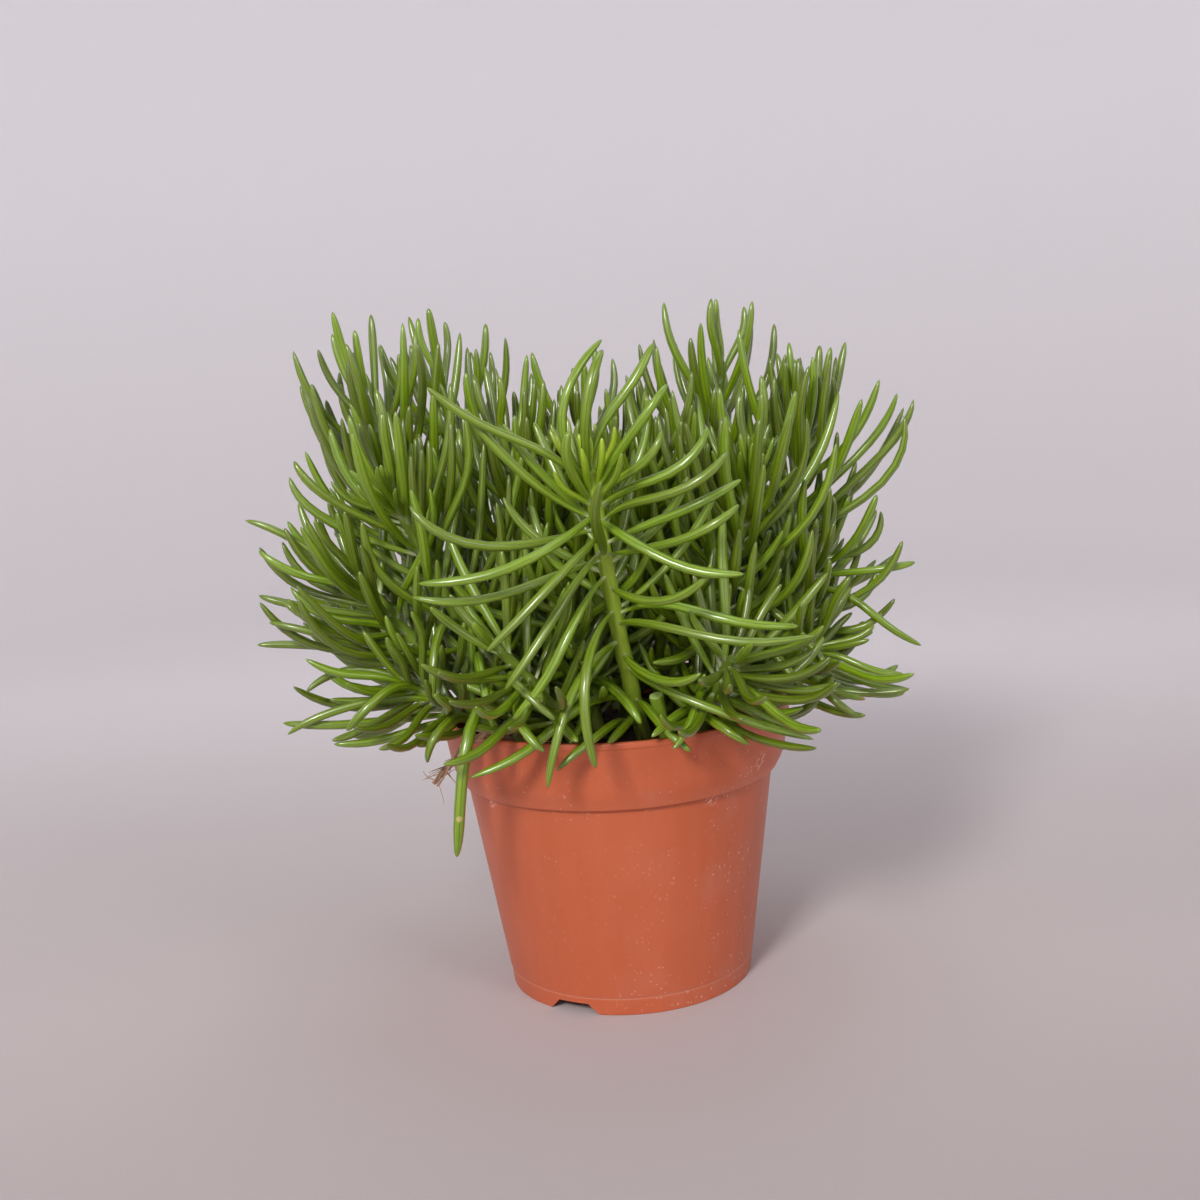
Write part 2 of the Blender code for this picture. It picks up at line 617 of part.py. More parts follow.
def pot():
    """The shell with its floor, foot notches and drain holes."""
    lip_foot = POT_HEIGHT - RIM_LIP
    foot_side = FOOT_RADIUS + FOOT_DRAFT
    floor_top = FLOOR_UNDERSIDE_Z + WALL
    profile = (
        (0.0, FLOOR_UNDERSIDE_Z),
        (FOOT_RADIUS - 2 * WALL, FLOOR_UNDERSIDE_Z),
        (FOOT_RING[0], 0.0),
        (FOOT_RING[1], 0.0),
        (foot_side, FOOT_BAND_Z),
        (foot_side + FOOT_BAND_INSET, FOOT_BAND_Z + FOOT_BAND_INSET),
        (STEP_RADIUS, STEP_Z),
        (STEP_RADIUS + STEP_LEDGE[0], STEP_Z + STEP_LEDGE[1]),
        (BAND_FOOT_RADIUS, BAND_FOOT_Z),
        (RIM_RADIUS, lip_foot),
        (RIM_RADIUS - RIM_EASE, POT_HEIGHT),
        (RIM_RADIUS - RIM_WALL, POT_HEIGHT),
        (RIM_RADIUS - RIM_WALL - RIM_EASE, lip_foot),
        (BAND_FOOT_RADIUS - WALL, BAND_FOOT_Z + STEP_EASE),
        (STEP_RADIUS - WALL, STEP_Z - STEP_EASE),
        (foot_side - WALL, floor_top),
        (0.0, floor_top),
    )
    shell = turned("pot", profile, POT_SIDES, POT_FINISH)
    cutters = [foot_notch(math.radians(azimuth)) for azimuth in NOTCH_AZIMUTHS]
    for k in range(DRAIN_HOLES):
        angle = 2 * math.pi * (k + 0.5) / DRAIN_HOLES
        centre = DRAIN_CIRCLE_RADIUS * np.array((math.cos(angle), math.sin(angle), 0.0))
        ends = np.array((centre, centre + 2 * FLOOR_UNDERSIDE_Z * UP))
        hole = tube(ends, np.full(2, DRAIN_HOLE_RADIUS), DRAIN_HOLE_SIDES)
        cutters.append(object_from(f"drain_{k}", hole))
    combine(shell, cutters, "DIFFERENCE")
    shade_round(shell)
    return shell


def foot_notch(azimuth):
    """A cutter for one gap in the foot ring."""
    bm = bmesh.new()
    half_low = NOTCH_WIDTH_BOTTOM / 2 + NOTCH_BELOW
    half_high = NOTCH_WIDTH_TOP / 2
    outline = (
        (-half_low, -NOTCH_BELOW),
        (half_low, -NOTCH_BELOW),
        (half_high, NOTCH_HEIGHT),
        (-half_high, NOTCH_HEIGHT),
    )
    out = np.array((-math.sin(azimuth), -math.cos(azimuth), 0.0))
    along = np.array((math.cos(azimuth), -math.sin(azimuth), 0.0))
    inner, outer = (
        [bm.verts.new(out * reach + along * x + UP * z) for x, z in outline]
        for reach in NOTCH_REACH
    )
    for k in range(4):
        bm.faces.new((inner[k], inner[(k + 1) % 4], outer[(k + 1) % 4], outer[k]))
    bm.faces.new(inner)
    bm.faces.new(outer)
    return object_from("notch", bm)


def soil():
    """The root ball: it fills the pot up to a low mound, with a plain hole for every stem."""
    base = FLOOR_UNDERSIDE_Z + WALL + GAP
    inset = WALL + 2 * GAP
    profile = (
        (0.0, base),
        (FOOT_RADIUS - inset, base),
        (STEP_RADIUS - inset - GAP, STEP_Z - STEP_EASE),
        (BAND_FOOT_RADIUS - inset - GAP, BAND_FOOT_Z + STEP_LEDGE[1]),
        (BAND_FOOT_RADIUS - inset, SOIL_EDGE_Z),
        (SOIL_MOUND_RADIUS, SOIL_TOP),
        (0.0, SOIL_TOP),
    )
    ball = turned("soil", profile, SOIL_SIDES, SOIL_FINISH)
    wells = [(row[1], STEM_BASE_RADIUS) for row in STEMS]
    wells += [(root, STUB_RADIUS) for _, root, _ in STUBS]
    holes = []
    for k, (root, radius) in enumerate(wells):
        foot, neck = foot_and_neck(root)
        ends = np.array((foot - GAP * UP, neck + GAP * UP))
        corner = (radius + GAP) / math.cos(math.pi / WELL_SIDES)
        holes.append(object_from(f"well_{k}", tube(ends, np.full(2, corner), WELL_SIDES)))
    combine(ball, holes, "DIFFERENCE")
    return ball


def cut_stub(name, root, top):
    """A pruned stem with a flat cut end."""
    return object_from(
        name, tube(stub_points(root, top), np.full(3, STUB_RADIUS), STUB_SIDES), STUB_FINISH
    )


def dry_roots():
    """Dry roots pulled up over the rim, joined where they cross."""
    strands = []
    for k, strand in enumerate(ROOT_STRANDS):
        points = millimetres(strand)
        radii = np.linspace(ROOT_RADIUS, ROOT_END_RADIUS, len(points))
        name, finish = (f"strand_{k}", None) if k else ("dry_roots", ROOT_FINISH)
        strands.append(object_from(name, tube(points, radii, ROOT_SIDES), finish))
    combine(strands[0], strands[1:], "UNION")
    return strands[0]


def centre_on_footprint(objects):
    """Moves everything so that the middle of the whole footprint is at the origin."""
    corners = np.array([vertex.co for obj in objects for vertex in obj.data.vertices])
    middle = (corners.min(axis=0) + corners.max(axis=0)) / 2
    for obj in objects:
        obj.location = Vector((-middle[0], -middle[1], 0.0))


def build():
    clear_scene()
    stems, leaves = grow_plant()
    pieces = [pot(), soil(), dry_roots()]
    pieces += [cut_stub(*row) for row in STUBS]
    pieces += [leafy_stem(stem, leaves[name]) for name, stem in stems.items()]
    centre_on_footprint(pieces)


build()
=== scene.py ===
"""A finger-leaved succulent in a tapered plastic nursery pot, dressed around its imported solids.

The leafy stems grow by the rules of the solids, so every fine leaf lies where its solid is, and
thinner leaves then fill the room between them. The pot, the soil, the cut stubs and the dry roots
are built again with their fine shapes.
"""

import math
import random

import bmesh
import bpy
import numpy as np
from mathutils import Matrix, Vector, noise


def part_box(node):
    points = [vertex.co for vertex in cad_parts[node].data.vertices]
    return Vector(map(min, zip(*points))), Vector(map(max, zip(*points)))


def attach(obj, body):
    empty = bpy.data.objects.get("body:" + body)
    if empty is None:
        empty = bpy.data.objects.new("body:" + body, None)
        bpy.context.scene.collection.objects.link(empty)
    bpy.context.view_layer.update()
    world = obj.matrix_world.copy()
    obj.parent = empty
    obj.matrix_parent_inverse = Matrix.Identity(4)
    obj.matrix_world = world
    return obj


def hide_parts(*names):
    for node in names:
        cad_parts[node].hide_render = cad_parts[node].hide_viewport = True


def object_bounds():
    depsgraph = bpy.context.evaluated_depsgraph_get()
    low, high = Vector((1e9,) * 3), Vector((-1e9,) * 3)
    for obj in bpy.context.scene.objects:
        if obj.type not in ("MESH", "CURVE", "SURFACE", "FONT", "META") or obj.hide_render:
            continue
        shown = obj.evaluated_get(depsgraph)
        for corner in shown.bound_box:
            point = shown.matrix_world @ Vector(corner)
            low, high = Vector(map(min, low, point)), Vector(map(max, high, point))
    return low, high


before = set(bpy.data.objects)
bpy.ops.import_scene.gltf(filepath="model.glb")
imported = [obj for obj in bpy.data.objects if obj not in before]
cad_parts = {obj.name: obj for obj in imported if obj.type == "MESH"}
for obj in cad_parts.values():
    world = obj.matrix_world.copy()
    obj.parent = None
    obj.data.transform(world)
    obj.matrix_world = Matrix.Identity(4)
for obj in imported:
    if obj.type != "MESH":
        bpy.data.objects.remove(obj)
CAD_LOW, CAD_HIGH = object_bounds()

MM = 0.001
FULL_TURN = 2 * math.pi
UP = np.array((0.0, 0.0, 1.0))
BACK = np.array((0.0, 1.0, 0.0))

GROWTH_SEED = 5
FILL_SEED, SKIN_SEED, SOIL_SEED, ROOT_SEED, HEAD_SEED, COVER_SEED = range(11, 17)

# Pot
RIM_RADIUS = 60.0 * MM
RIM_WALL = 1.95 * MM
POT_HEIGHT = 97.0 * MM
BAND_FOOT_RADIUS = 57.0 * MM
BAND_FOOT_Z = 78.5 * MM
STEP_RADIUS = 52.6 * MM
STEP_Z = 73.0 * MM
FOOT_RADIUS = 42.0 * MM
FOOT_BAND_Z = 6.0 * MM
FOOT_BAND_OUT = 0.3 * MM
WALL = 1.3 * MM
FLOOR_UNDERSIDE_Z = 5.0 * MM
POT_SIDES = 144
POT_SHARP_ANGLE = math.radians(38)
NOTCH_AZIMUTHS = (29.0, 209.0)
NOTCH_WIDTH_BOTTOM = 18.5 * MM
NOTCH_WIDTH_TOP = 11.5 * MM
NOTCH_HEIGHT = 3.8 * MM
NOTCH_REACH = (34.0 * MM, 46.0 * MM)
NOTCH_CORNER = 0.8 * MM
NOTCH_BELOW = 0.6 * MM
DRAIN_HOLES = 6
DRAIN_HOLE_RADIUS = 3.5 * MM
DRAIN_CIRCLE_RADIUS = 28.0 * MM
DRAIN_HOLE_SIDES = 28

# Soil
SOIL_EDGE_Z = 86.0 * MM
SOIL_TOP = 88.0 * MM
SOIL_MOUND_RADIUS = 34.0 * MM
SOIL_SIDES = 120
SOIL_RINGS = 44
SOIL_SHARP_ANGLE = math.radians(50)
SOIL_CLODS = ((0.8, 0.12), (0.6, 0.45))
SOIL_SUNK = 0.4
CRUMBS = 900
CRUMB_SIZES = (0.45, 0.6, 0.8, 1.1, 1.5)
CRUMB_WIDTHS = (0.5, 1)
CRUMB_HEIGHTS = (0.4, 0.8)
CRUMB_SUNK = 0.2 * MM
CRUMB_MARGIN = 1.5 * MM
CRUMB_UNEVENNESS = 0.3
GAP = 0.3 * MM

# The pot and its soil as one closed outline: radius and height
POT_OUTLINE = np.array(
    (
        (0.0, 0.0),
        (FOOT_RADIUS, 0.0),
        (STEP_RADIUS, STEP_Z),
        (BAND_FOOT_RADIUS, BAND_FOOT_Z),
        (RIM_RADIUS, POT_HEIGHT),
        (RIM_RADIUS - 2 * WALL, POT_HEIGHT),
        (BAND_FOOT_RADIUS - WALL, SOIL_EDGE_Z),
        (0.0, SOIL_TOP),
    )
)

# Stems
STEM_DEPTH = 16.0 * MM
STEM_NECK = 1.5 * MM
STEM_BASE_RADIUS = 2.5 * MM
STEM_TIP_RADIUS = 1.5 * MM
STEM_POINT = 2.5 * MM
TALL_STEM = "front_tall"
TALL_STEM_TIP_RADIUS = 2.1 * MM
STEM_KNEE_REACH = 0.55
STEM_STEPS = 5
STUB_RADIUS = 2.3 * MM
KNEE_TIP_HEIGHTS = (125.0 * MM, 165.0 * MM)
KNEE_RISES = (0.7, 0.36)

# Leaves as the solids have them
LEAF_CORNER_RADIUS = 2.1 * MM
LEAF_WIDTH_AT = (0.0, 0.22, 0.55, 0.87, 1.0)
LEAF_WIDTHS = (0.43, 0.86, 1.0, 0.8, 0.0)
LEAF_RINGS = (0.0, 0.28, 0.58, 0.87, 1.0)
SHORT_LEAF_RINGS = (0.0, 0.4, 0.84, 1.0)
SHORT_LEAF = 38.0 * MM
SHORT_LEAF_SLIMNESS = 0.28
LENGTH_SHARES = (0.84, 1.04)
GOLDEN_ANGLE = math.radians(137.508)
OPEN_ANGLE = math.radians(84)
ANGLE_DROP = math.radians(30)
YOUNG_FROM = 0.72
YOUNG_CLOSING = math.radians(38)
YOUNG_SHORTNESS = 0.62
YOUNG_POWER = 1.6
LIFT_POWER = 1.4
CURVE_STEPS = 12
ATTEMPTS = 22
FIRST_PLAY = 0.25
TURN_PLAY = 0.75
ANGLE_PLAY = (-0.5, 0.3)
LIFT_SHARES = (0.8, 1.2)
LIFT_PLAY = (-0.3, 0.8)
SWAY_PLAY = 0.45
LENGTH_PLAY = (0.86, 1.08)
LAST_LENGTH = 0.65
LEAF_GAP = 0.45 * MM
OWN_STEM_GAP = -0.9 * MM
OWN_STEM_SHARE = 0.3
BALL_SPACING = 2.0 * MM
NEAR = 8.0 * MM

# The leaves keep above the rim, and this far to either side of the front of the tall stem
LOWEST_LEAF = 95.0 * MM
TALL_STEM_CLEARANCE = 6.0 * MM
TALL_STEM_STEPS = 24

# Every leafy stem: name, where it leaves the soil, its growing tip, number of leaves, the bare
# share below them, how strongly they turn upwards, and the length of a full-grown leaf, in mm
STEMS = (
    ("front_tall", (9, -27), (-3, -66, 181), 18, 0.45, 0.9, 50),
    ("left_crown", (-24, -14), (-66, -34, 176), 28, 0.15, 2.6, 62),
    ("right_crown", (22, -11), (48, -30, 174), 27, 0.2, 2.5, 62),
    ("left_reach", (-37, -14), (-80, -28, 150), 20, 0.15, 1.2, 56),
    ("right_reach", (38, -5), (72, -6, 144), 18, 0.15, 1.8, 50),
    ("front_left", (-12, -36), (-34, -60, 128), 18, 0.12, 0.4, 52),
    ("front_right", (26, -33), (36, -64, 122), 15, 0.12, 0.4, 50),
    ("left_low", (-31, -26), (-66, -38, 114), 10, 0.3, 0.4, 46),
    ("right_low", (37, -18), (66, -22, 115), 12, 0.3, 0.3, 46),
    ("right_back_crown", (29, 9), (73, 8, 188), 28, 0.25, 2.5, 60),
    ("back_right_crown", (15, 20), (45, 29, 207), 28, 0.3, 2.5, 60),
    ("centre", (3, 2), (16, -4, 180), 18, 0.25, 2.5, 56),
    ("centre_left", (-13, 8), (-32, 2, 190), 23, 0.25, 2.7, 56),
    ("left_back_crown", (-29, 9), (-78, 10, 205), 28, 0.25, 2.5, 62),
    ("back_left_crown", (-17, 29), (-55, 40, 207), 24, 0.25, 2.7, 60),
    ("back_right", (19, 38), (34, 72, 164), 16, 0.2, 1.3, 56),
    ("back_tall", (1, 24), (-6, 40, 190), 20, 0.25, 2.7, 56),
    ("back_low", (-3, 41), (-6, 86, 132), 15, 0.25, 0.6, 52),
    ("left_back_low", (-34, 25), (-80, 42, 136), 16, 0.2, 0.7, 54),
    ("right_back_low", (35, 23), (68, 44, 134), 15, 0.2, 1.0, 50),
    ("front_inner", (-6, -13), (-14, -40, 142), 16, 0.12, 0.8, 50),
    ("right_inner", (18, 4), (27, -34, 136), 14, 0.12, 0.8, 50),
)

# Leaves that stand out, by stem: the share of its height where the leaf starts, a point halfway
# along the leaf, and its tip, in mm
FEATURE_LEAVES = {
    "front_tall": (
        (0.96, (-10, -72, 199), (3, -64, 220)),
        (0.97, (-3, -75, 201), (3, -69, 217)),
        (0.98, (6, -68, 202), (18, -64, 218)),
        (0.94, (12, -75, 196), (21, -72, 206)),
        (0.91, (-9, -76, 185), (-8, -80, 195)),
        (0.76, (-2, -76, 166), (0, -90, 181)),
        (0.95, (-25, -74, 194), (-48, -78, 210)),
        (0.87, (-24, -70, 184), (-38, -72, 203)),
        (0.85, (-34, -82, 164), (-55, -84, 177)),
        (0.9, (-21, -86, 160), (-54, -88, 155)),
        (0.76, (-30, -77, 149), (-57, -80, 150)),
        (0.83, (-15, -86, 153), (-36, -89, 134)),
        (0.79, (-19, -80, 138), (-32, -82, 121)),
        (0.71, (-15, -75, 131), (-31, -74, 110)),
        (0.59, (-8, -76, 124), (-7, -80, 95)),
        (0.48, (-15, -70, 112), (-22, -74, 88)),
        (0.2, (-18, -58, 104), (-46, -67, 91)),
        (0.93, (12, -78, 185), (18, -78, 193)),
        (0.9, (19, -73, 181), (32, -70, 193)),
        (0.86, (19, -80, 176), (37, -78, 186)),
        (0.8, (22, -73, 169), (41, -71, 177)),
        (0.77, (22, -81, 162), (39, -82, 171)),
        (0.88, (15, -84, 158), (39, -90, 152)),
        (0.67, (14, -78, 144), (30, -86, 153)),
        (0.57, (27, -68, 138), (56, -70, 132)),
        (0.54, (24, -76, 133), (60, -80, 131)),
        (0.43, (13, -66, 118), (26, -76, 121)),
        (0.37, (23, -64, 110), (59, -70, 97)),
        (0.22, (12, -54, 103), (22, -64, 94)),
        (0.08, (-5, -58, 101), (-19, -68, 92)),
    ),
    "left_crown": (
        (0.86, (-84, -42, 176), (-94, -44, 189)),
        (0.8, (-88, -32, 169), (-98, -32, 183)),
        (0.35, (-42, -50, 123), (-38, -62, 105)),
        (0.55, (-54, -50, 132), (-56, -56, 114)),
    ),
    "left_reach": (
        (0.72, (-94, -30, 159), (-114, -30, 170)),
        (0.85, (-90, -36, 150), (-109, -38, 161)),
        (0.75, (-97, -26, 140), (-113, -26, 145)),
        (0.64, (-86, -36, 138), (-100, -38, 149)),
        (0.58, (-89, -30, 133), (-105, -30, 144)),
        (0.52, (-96, -20, 126), (-116, -22, 128)),
        (0.42, (-85, -36, 130), (-108, -38, 138)),
    ),
    "left_low": (
        (0.9, (-81, -44, 121), (-96, -46, 127)),
        (0.8, (-71, -50, 116), (-84, -54, 105)),
        (0.7, (-79, -36, 120), (-98, -40, 115)),
        (0.6, (-84, -44, 111), (-104, -46, 103)),
        (0.45, (-80, -40, 104), (-106, -42, 106)),
        (0.35, (-72, -46, 101), (-89, -50, 100)),
        (0.2, (-44, -59, 108), (-52, -65, 65)),
        (0.28, (-54, -56, 106), (-59, -60, 95)),
    ),
    "front_right": (
        (0.15, (29, -56, 102), (40, -64, 95)),
        (0.35, (38, -61, 107), (55, -67, 99)),
    ),
    "right_crown": (
        (0.25, (40, -42, 112), (45, -53, 100)),
        (0.45, (26, -46, 123), (12, -62, 122)),
        (0.55, (52, -43, 118), (63, -49, 101)),
        (0.65, (58, -33, 125), (69, -40, 110)),
    ),
    "right_back_crown": (
        (0.66, (90, 6, 178), (101, 4, 195)),
        (0.6, (95, 0, 176), (105, -2, 193)),
        (0.5, (91, -3, 167), (101, -5, 188)),
    ),
    "right_reach": (
        (0.95, (86, -8, 145), (92, -9, 157)),
        (0.85, (87, -12, 138), (102, -14, 140)),
        (0.75, (82, -17, 128), (102, -20, 113)),
        (0.62, (81, 2, 124), (92, 4, 135)),
        (0.5, (79, -14, 119), (90, -15, 124)),
    ),
    "right_low": (
        (0.9, (77, -28, 111), (94, -30, 106)),
        (0.8, (82, -20, 103), (97, -22, 99)),
        (0.6, (70, -30, 103), (81, -32, 99)),
        (0.7, (66, -38, 106), (77, -44, 96)),
    ),
}

STUBS = (
    ("cut_stub_front", (16, -36), (13, -41, 107)),
    ("cut_stub_right", (35, -27), (41, -33, 101)),
    ("cut_stub_back", (-21, 37), (-23, 43, 104)),
)
STUB_SIDES = 18
STUB_RINGS = 12
STUB_WAIST = 0.05
STUB_EDGE_DEPTHS = (0.35 * MM, 0.05 * MM)
STUB_EDGE_RADII = (0.93 * STUB_RADIUS, 0.8 * STUB_RADIUS)
STUB_BUMPS = 0.07

LONG_ROOT = (
    (-31, -36, 89.6),
    (-36, -42, 98.8),
    (-42, -43, 98.5),
    (-47.5, -48, 96.5),
    (-53, -52.5, 91.5),
    (-58, -56, 86.8),
)
ROOT_STRANDS = (
    LONG_ROOT,
    ((-36, -42, 98.8), (-30, -44.5, 98.6), (-25, -45, 94)),
    ((-42, -43, 98.5), (-41, -38, 98.7), (-38, -33, 93)),
)
ROOT_RINGS = (42, 22, 22)
ROOT_RADIUS = 0.9 * MM
ROOT_END_RADIUS = 0.55 * MM
ROOT_TWISTS = 3
ROOT_TURNS = 9.0
ROOT_SIDES = 9
ROOT_BUMPS = 0.55
TWIST_SIDES = 6
TWIST_BUMPS = 0.4
TWIST_REACHES = (0.9, 1.6)
TWIST_THICKNESSES = (0.3, 0.5)
TWIST_END = 0.7
FIBRES = 70
FIBRE_STRANDS = (0, 0, 0, 0, 1, 2)
FIBRE_LENGTHS = (3, 8)
FIBRE_RADII = (0.13, 0.24)
FIBRE_RINGS = 9
FIBRE_CURL = 0.45
FIBRE_SIDES = 5
FIBRE_STARTS = 30
FIBRE_START_SHARES = (0.05, 0.98)
FIBRE_HEADINGS = ((-1, 0.6), (-0.7, 0.3), (-0.5, 0.2))
FIBRE_CURLS = ((-1, 1), (-1, 1), (-1.2, 0.4))
FIBRE_END = 0.5
FIBRE_CLEARANCE = 0.3 * MM

# Tubes: how fine their bumps are, and the direction that their rings start from
BUMP_FINENESS = 700
TUBE_UP = np.array((0.3, 1.0, 0.2))

# Beads on the roots: centre and radius in mm
ROOT_BEADS = (((-31.6, -42.0, 98.6), 1.25), ((-28.6, -42.0, 99.2), 0.85))
BEAD_SIDES = 20
BEAD_RINGS = 12
BEAD_UNEVENNESS = 0.1
BEAD_FINENESS = 1300

# A leaf whose tip hangs below this height, in mm, is fuller than the others and has no wave
HANGING_TIP = 80
HANGING_GIRTH = 1.25

# Leaves that lie over the soil and the rim, given like those that stand out
COVER_LEAVES = {
    "front_tall": (
        (0.12, (4, -48, 101), (-3, -63, 98)),
    ),
    "front_right": (
        (0.3, (24, -58, 106), (14, -66, 99)),
        (0.2, (20, -50, 103), (10, -61, 99)),
    ),
    "front_inner": (
        (0.35, (-2, -45, 110), (8, -58, 103)),
        (0.25, (-10, -48, 104), (-14, -62, 99)),
    ),
    "front_left": (
        (0.45, (-30, -60, 112), (-22, -72, 99)),
        (0.3, (-20, -56, 106), (-12, -68, 100)),
        (0.7, (-30, -70, 121), (-18, -78, 110)),
    ),
    "right_crown": (
        (0.15, (30, -40, 108), (34, -56, 104)),
    ),
    "right_inner": (
        (0.25, (26, -30, 106), (30, -46, 101)),
    ),
    "back_low": (
        (0.3, (-16, 62, 104), (-36, 64, 104)),
        (0.2, (-14, 57, 101), (-31, 57, 100)),
        (0.35, (6, 64, 104), (20, 68, 103)),
    ),
    "back_tall": (
        (0.2, (-10, 40, 104), (-22, 46, 103)),
    ),
    "back_left_crown": (
        (0.15, (-26, 42, 104), (-36, 50, 104)),
    ),
    "back_right_crown": (
        (0.15, (24, 30, 103), (32, 42, 102)),
    ),
    "back_right": (
        (0.2, (27, 50, 101), (40, 50, 103)),
    ),
}

COVER_TRIES = 80
COVER_PLAY = 9.0
COVER_SHARE_PLAY = 0.02
COVER_GAP = -1.5 * MM

# Small new leaves round the tips of these stems, the last ones shortest
HEADS = ("front_tall", "left_crown", "right_crown")
HEAD_LEAVES = 10
HEAD_TRIES = 8
HEAD_FROM = 0.9
HEAD_TURN_PLAY = 0.5
HEAD_SPREADS = (0.75, 0.12)
HEAD_SPREAD_SHARES = (0.7, 1.3)
HEAD_LIFTS = (0.2, 0.9)
HEAD_SWAY = 0.3
HEAD_LENGTHS = (26.0 * MM, 10.0 * MM)
HEAD_LENGTH_SHARES = (0.8, 1.2)
HEAD_SLIMNESS = 0.78

# Thinner leaves that fill the room between the others. They keep off the tall stem in front, and
# some of them grow low down, as undergrowth.
FILL_ROUNDS = 150
FILL_GAP = -1.25 * MM
FILL_FRONT_Y = -58.0 * MM
FILL_FRONT_TOP = 128.0 * MM
FILL_BELOW = 10.0 * MM
FILL_MARGIN = 1.5 * MM
UNDERGROWTH = 0.25
UNDERGROWTH_SHARES = (0.05, 0.4)
FILL_BARE_SHARE = 0.5
FILL_ABOVE_BARE = 0.04
FILL_TOP_SHARE = 0.96
FILL_SPREAD_PLAY = (-0.3, 0.2)
FILL_LIFT_SHARES = (0.9, 1.9)
FILL_LIFT_PLAY = (-0.2, 0.4)
FILL_SWAY = 0.5
FILL_LENGTHS = (0.62, 1.0)
FILL_YOUNG_SHORTNESS = 0.5
FILL_SLIMNESS = 0.94

# Fine leaves: rings at shares of the length, and the radius as a share of the full one
LEAF_RADIUS = 1.54 * MM
LEAF_GIRTHS = (0.93, 1.08)
FINE_RINGS = np.array(
    (0.02, 0.05, 0.09, 0.14, 0.21, 0.3, 0.4, 0.5, 0.6, 0.7, 0.79, 0.86, 0.915, 0.955, 0.983)
)
FINE_WIDTH_AT = (0.0, 0.05, 0.12, 0.22, 0.36, 0.56, 0.72, 0.85, 0.93, 0.975, 1.0)
FINE_WIDTHS = (0.40, 0.43, 0.62, 0.84, 0.95, 1.0, 0.99, 0.89, 0.69, 0.43, 0.10)
FINE_SIDES = 10
BLUNTNESS = (0.85, 1.35)
SIDE_WAVES = (-0.024, 0.024)
UP_WAVES = (-0.006, 0.04)
RIPPLE = 0.035
RIPPLE_TURN = 0.23
LEAF_WIDE = 1.04
LEAF_THICK = (0.86, 0.97)
CURVE_DEGREE = 4
STEEP = 0.96
BOX_MARGIN = 0.02 * MM

# Colour of the leaves: young ones are lighter, and are short ones near the tip of a stem. Inner
# leaves draw their tone from the darker end, as painted shade deep among the other leaves.
FRESH_FROM = 0.8
FRESH_LENGTHS = (22.0 * MM, 40.0 * MM)
TALL_FRESHNESS = 1.0
OTHER_FRESHNESS = 0.35
INNER_SHADED_TONES = (0.0, 0.45)
OUTER_TONES = (0.35, 1.0)

# Fine bark
BARK_SIDES = 14
BARK_RING = 1.1 * MM
BARK_LEAST_RINGS = 8
TALL_STEM_FULLNESS = 0.09
TALL_STEM_FULL_AT = 0.2
BARK_SWAY = 0.05
BARK_SWAY_TURN = 0.5
BARK_RIDGES = 5
BARK_RIDGE = 0.035
PAD_RADIUS = 1.1 * MM
PAD_HEIGHT = 0.35 * MM
BURIED_HEIGHTS = (-0.1, -0.05)
SCAR_FROM = 0.04
SCAR_MARGIN = 0.02
SCAR_SPACING = 5.0 * MM
SCAR_SPACING_PLAY = (0.6, 1.4)
SCAR_RADIUS = 0.8 * MM
SCAR_HEIGHT = 0.22 * MM

# Cells of the unit square that the strips of a mesh are laid out in
CELL_SLENDERNESS = 5.0
CELL_INSET = 0.06
BARK_TOP_ON_MAP = 0.98

# Colours
LEAF_DARK = (0.085, 0.155, 0.004)
LEAF_LIGHT = (0.270, 0.375, 0.016)
LEAF_CLOUD = (0.21, 0.30, 0.010)
LEAF_LINE = (0.035, 0.075, 0.004)
LEAF_YOUNG = (0.44, 0.58, 0.03)
LEAF_ROOT = (0.62, 0.68, 0.40)
LEAF_TIP = (0.34, 0.3, 0.1)
YOUNG_BARK = ((0.21, 0.32, 0.018), (0.39, 0.53, 0.05))
OLD_BARK = ((0.10, 0.17, 0.012), (0.24, 0.34, 0.03))
BARK_FOOT = (0.17, 0.16, 0.055)
BARK_SEAT = (0.62, 0.68, 0.36)
SCAR_RING = (0.40, 0.44, 0.2)
SCAR_CORE = (0.13, 0.12, 0.045)
STUB_BARK = ((0.13, 0.25, 0.012), (0.36, 0.52, 0.04))
STUB_FOOT = (0.15, 0.14, 0.05)
STUB_CUT = (0.5, 0.66, 0.2)
CLAY_DARK = (0.46, 0.098, 0.036)
CLAY_LIGHT = (0.57, 0.130, 0.056)
CLAY_CLOUD = (0.60, 0.17, 0.09)
DUST = (0.78, 0.50, 0.42)
DUST_FILM = (0.55, 0.33, 0.27)
# Painted light: a lighter clay for the shaded slope under the rim band
UNDER_BAND_PAINTED_LIGHT = (0.70, 0.18, 0.08)
SCRATCH = (0.80, 0.52, 0.44)
FOOT_LINE = (0.72, 0.30, 0.20)
SOIL_DARK = (0.012, 0.008, 0.005)
SOIL_LIGHT = (0.085, 0.052, 0.03)
SOIL_FIBRE = (0.16, 0.1, 0.06)
ROOT_COLOURS = ((0.14, 0.06, 0.03), (0.55, 0.33, 0.20))
BEAD_COLOURS = ((0.3, 0.25, 0.1), (0.68, 0.6, 0.34))
# The paper's tones are painted shade and light: darker near the pot and darker still in front,
# lighter far back and up the wall
PAPER_NEAR_SHADED = (0.541, 0.480, 0.484)
PAPER_FAR_LIT = (0.788, 0.747, 0.766)
PAPER_FRONT_SHADED = (0.425, 0.373, 0.378)
PAPER_HIGH_LIT = (0.88, 0.86, 0.89)

# Dry marks on leaves, a scar on the hanging leaf and a dead tip at the right: centre and radius in
# mm, and colour
MARKS = (
    ((-49.9, -67.4, 78.4), 1.0, (0.58, 0.42, 0.18)),
    ((81.0, -32.0, 99.0), 2.0, (0.42, 0.17, 0.03)),
)

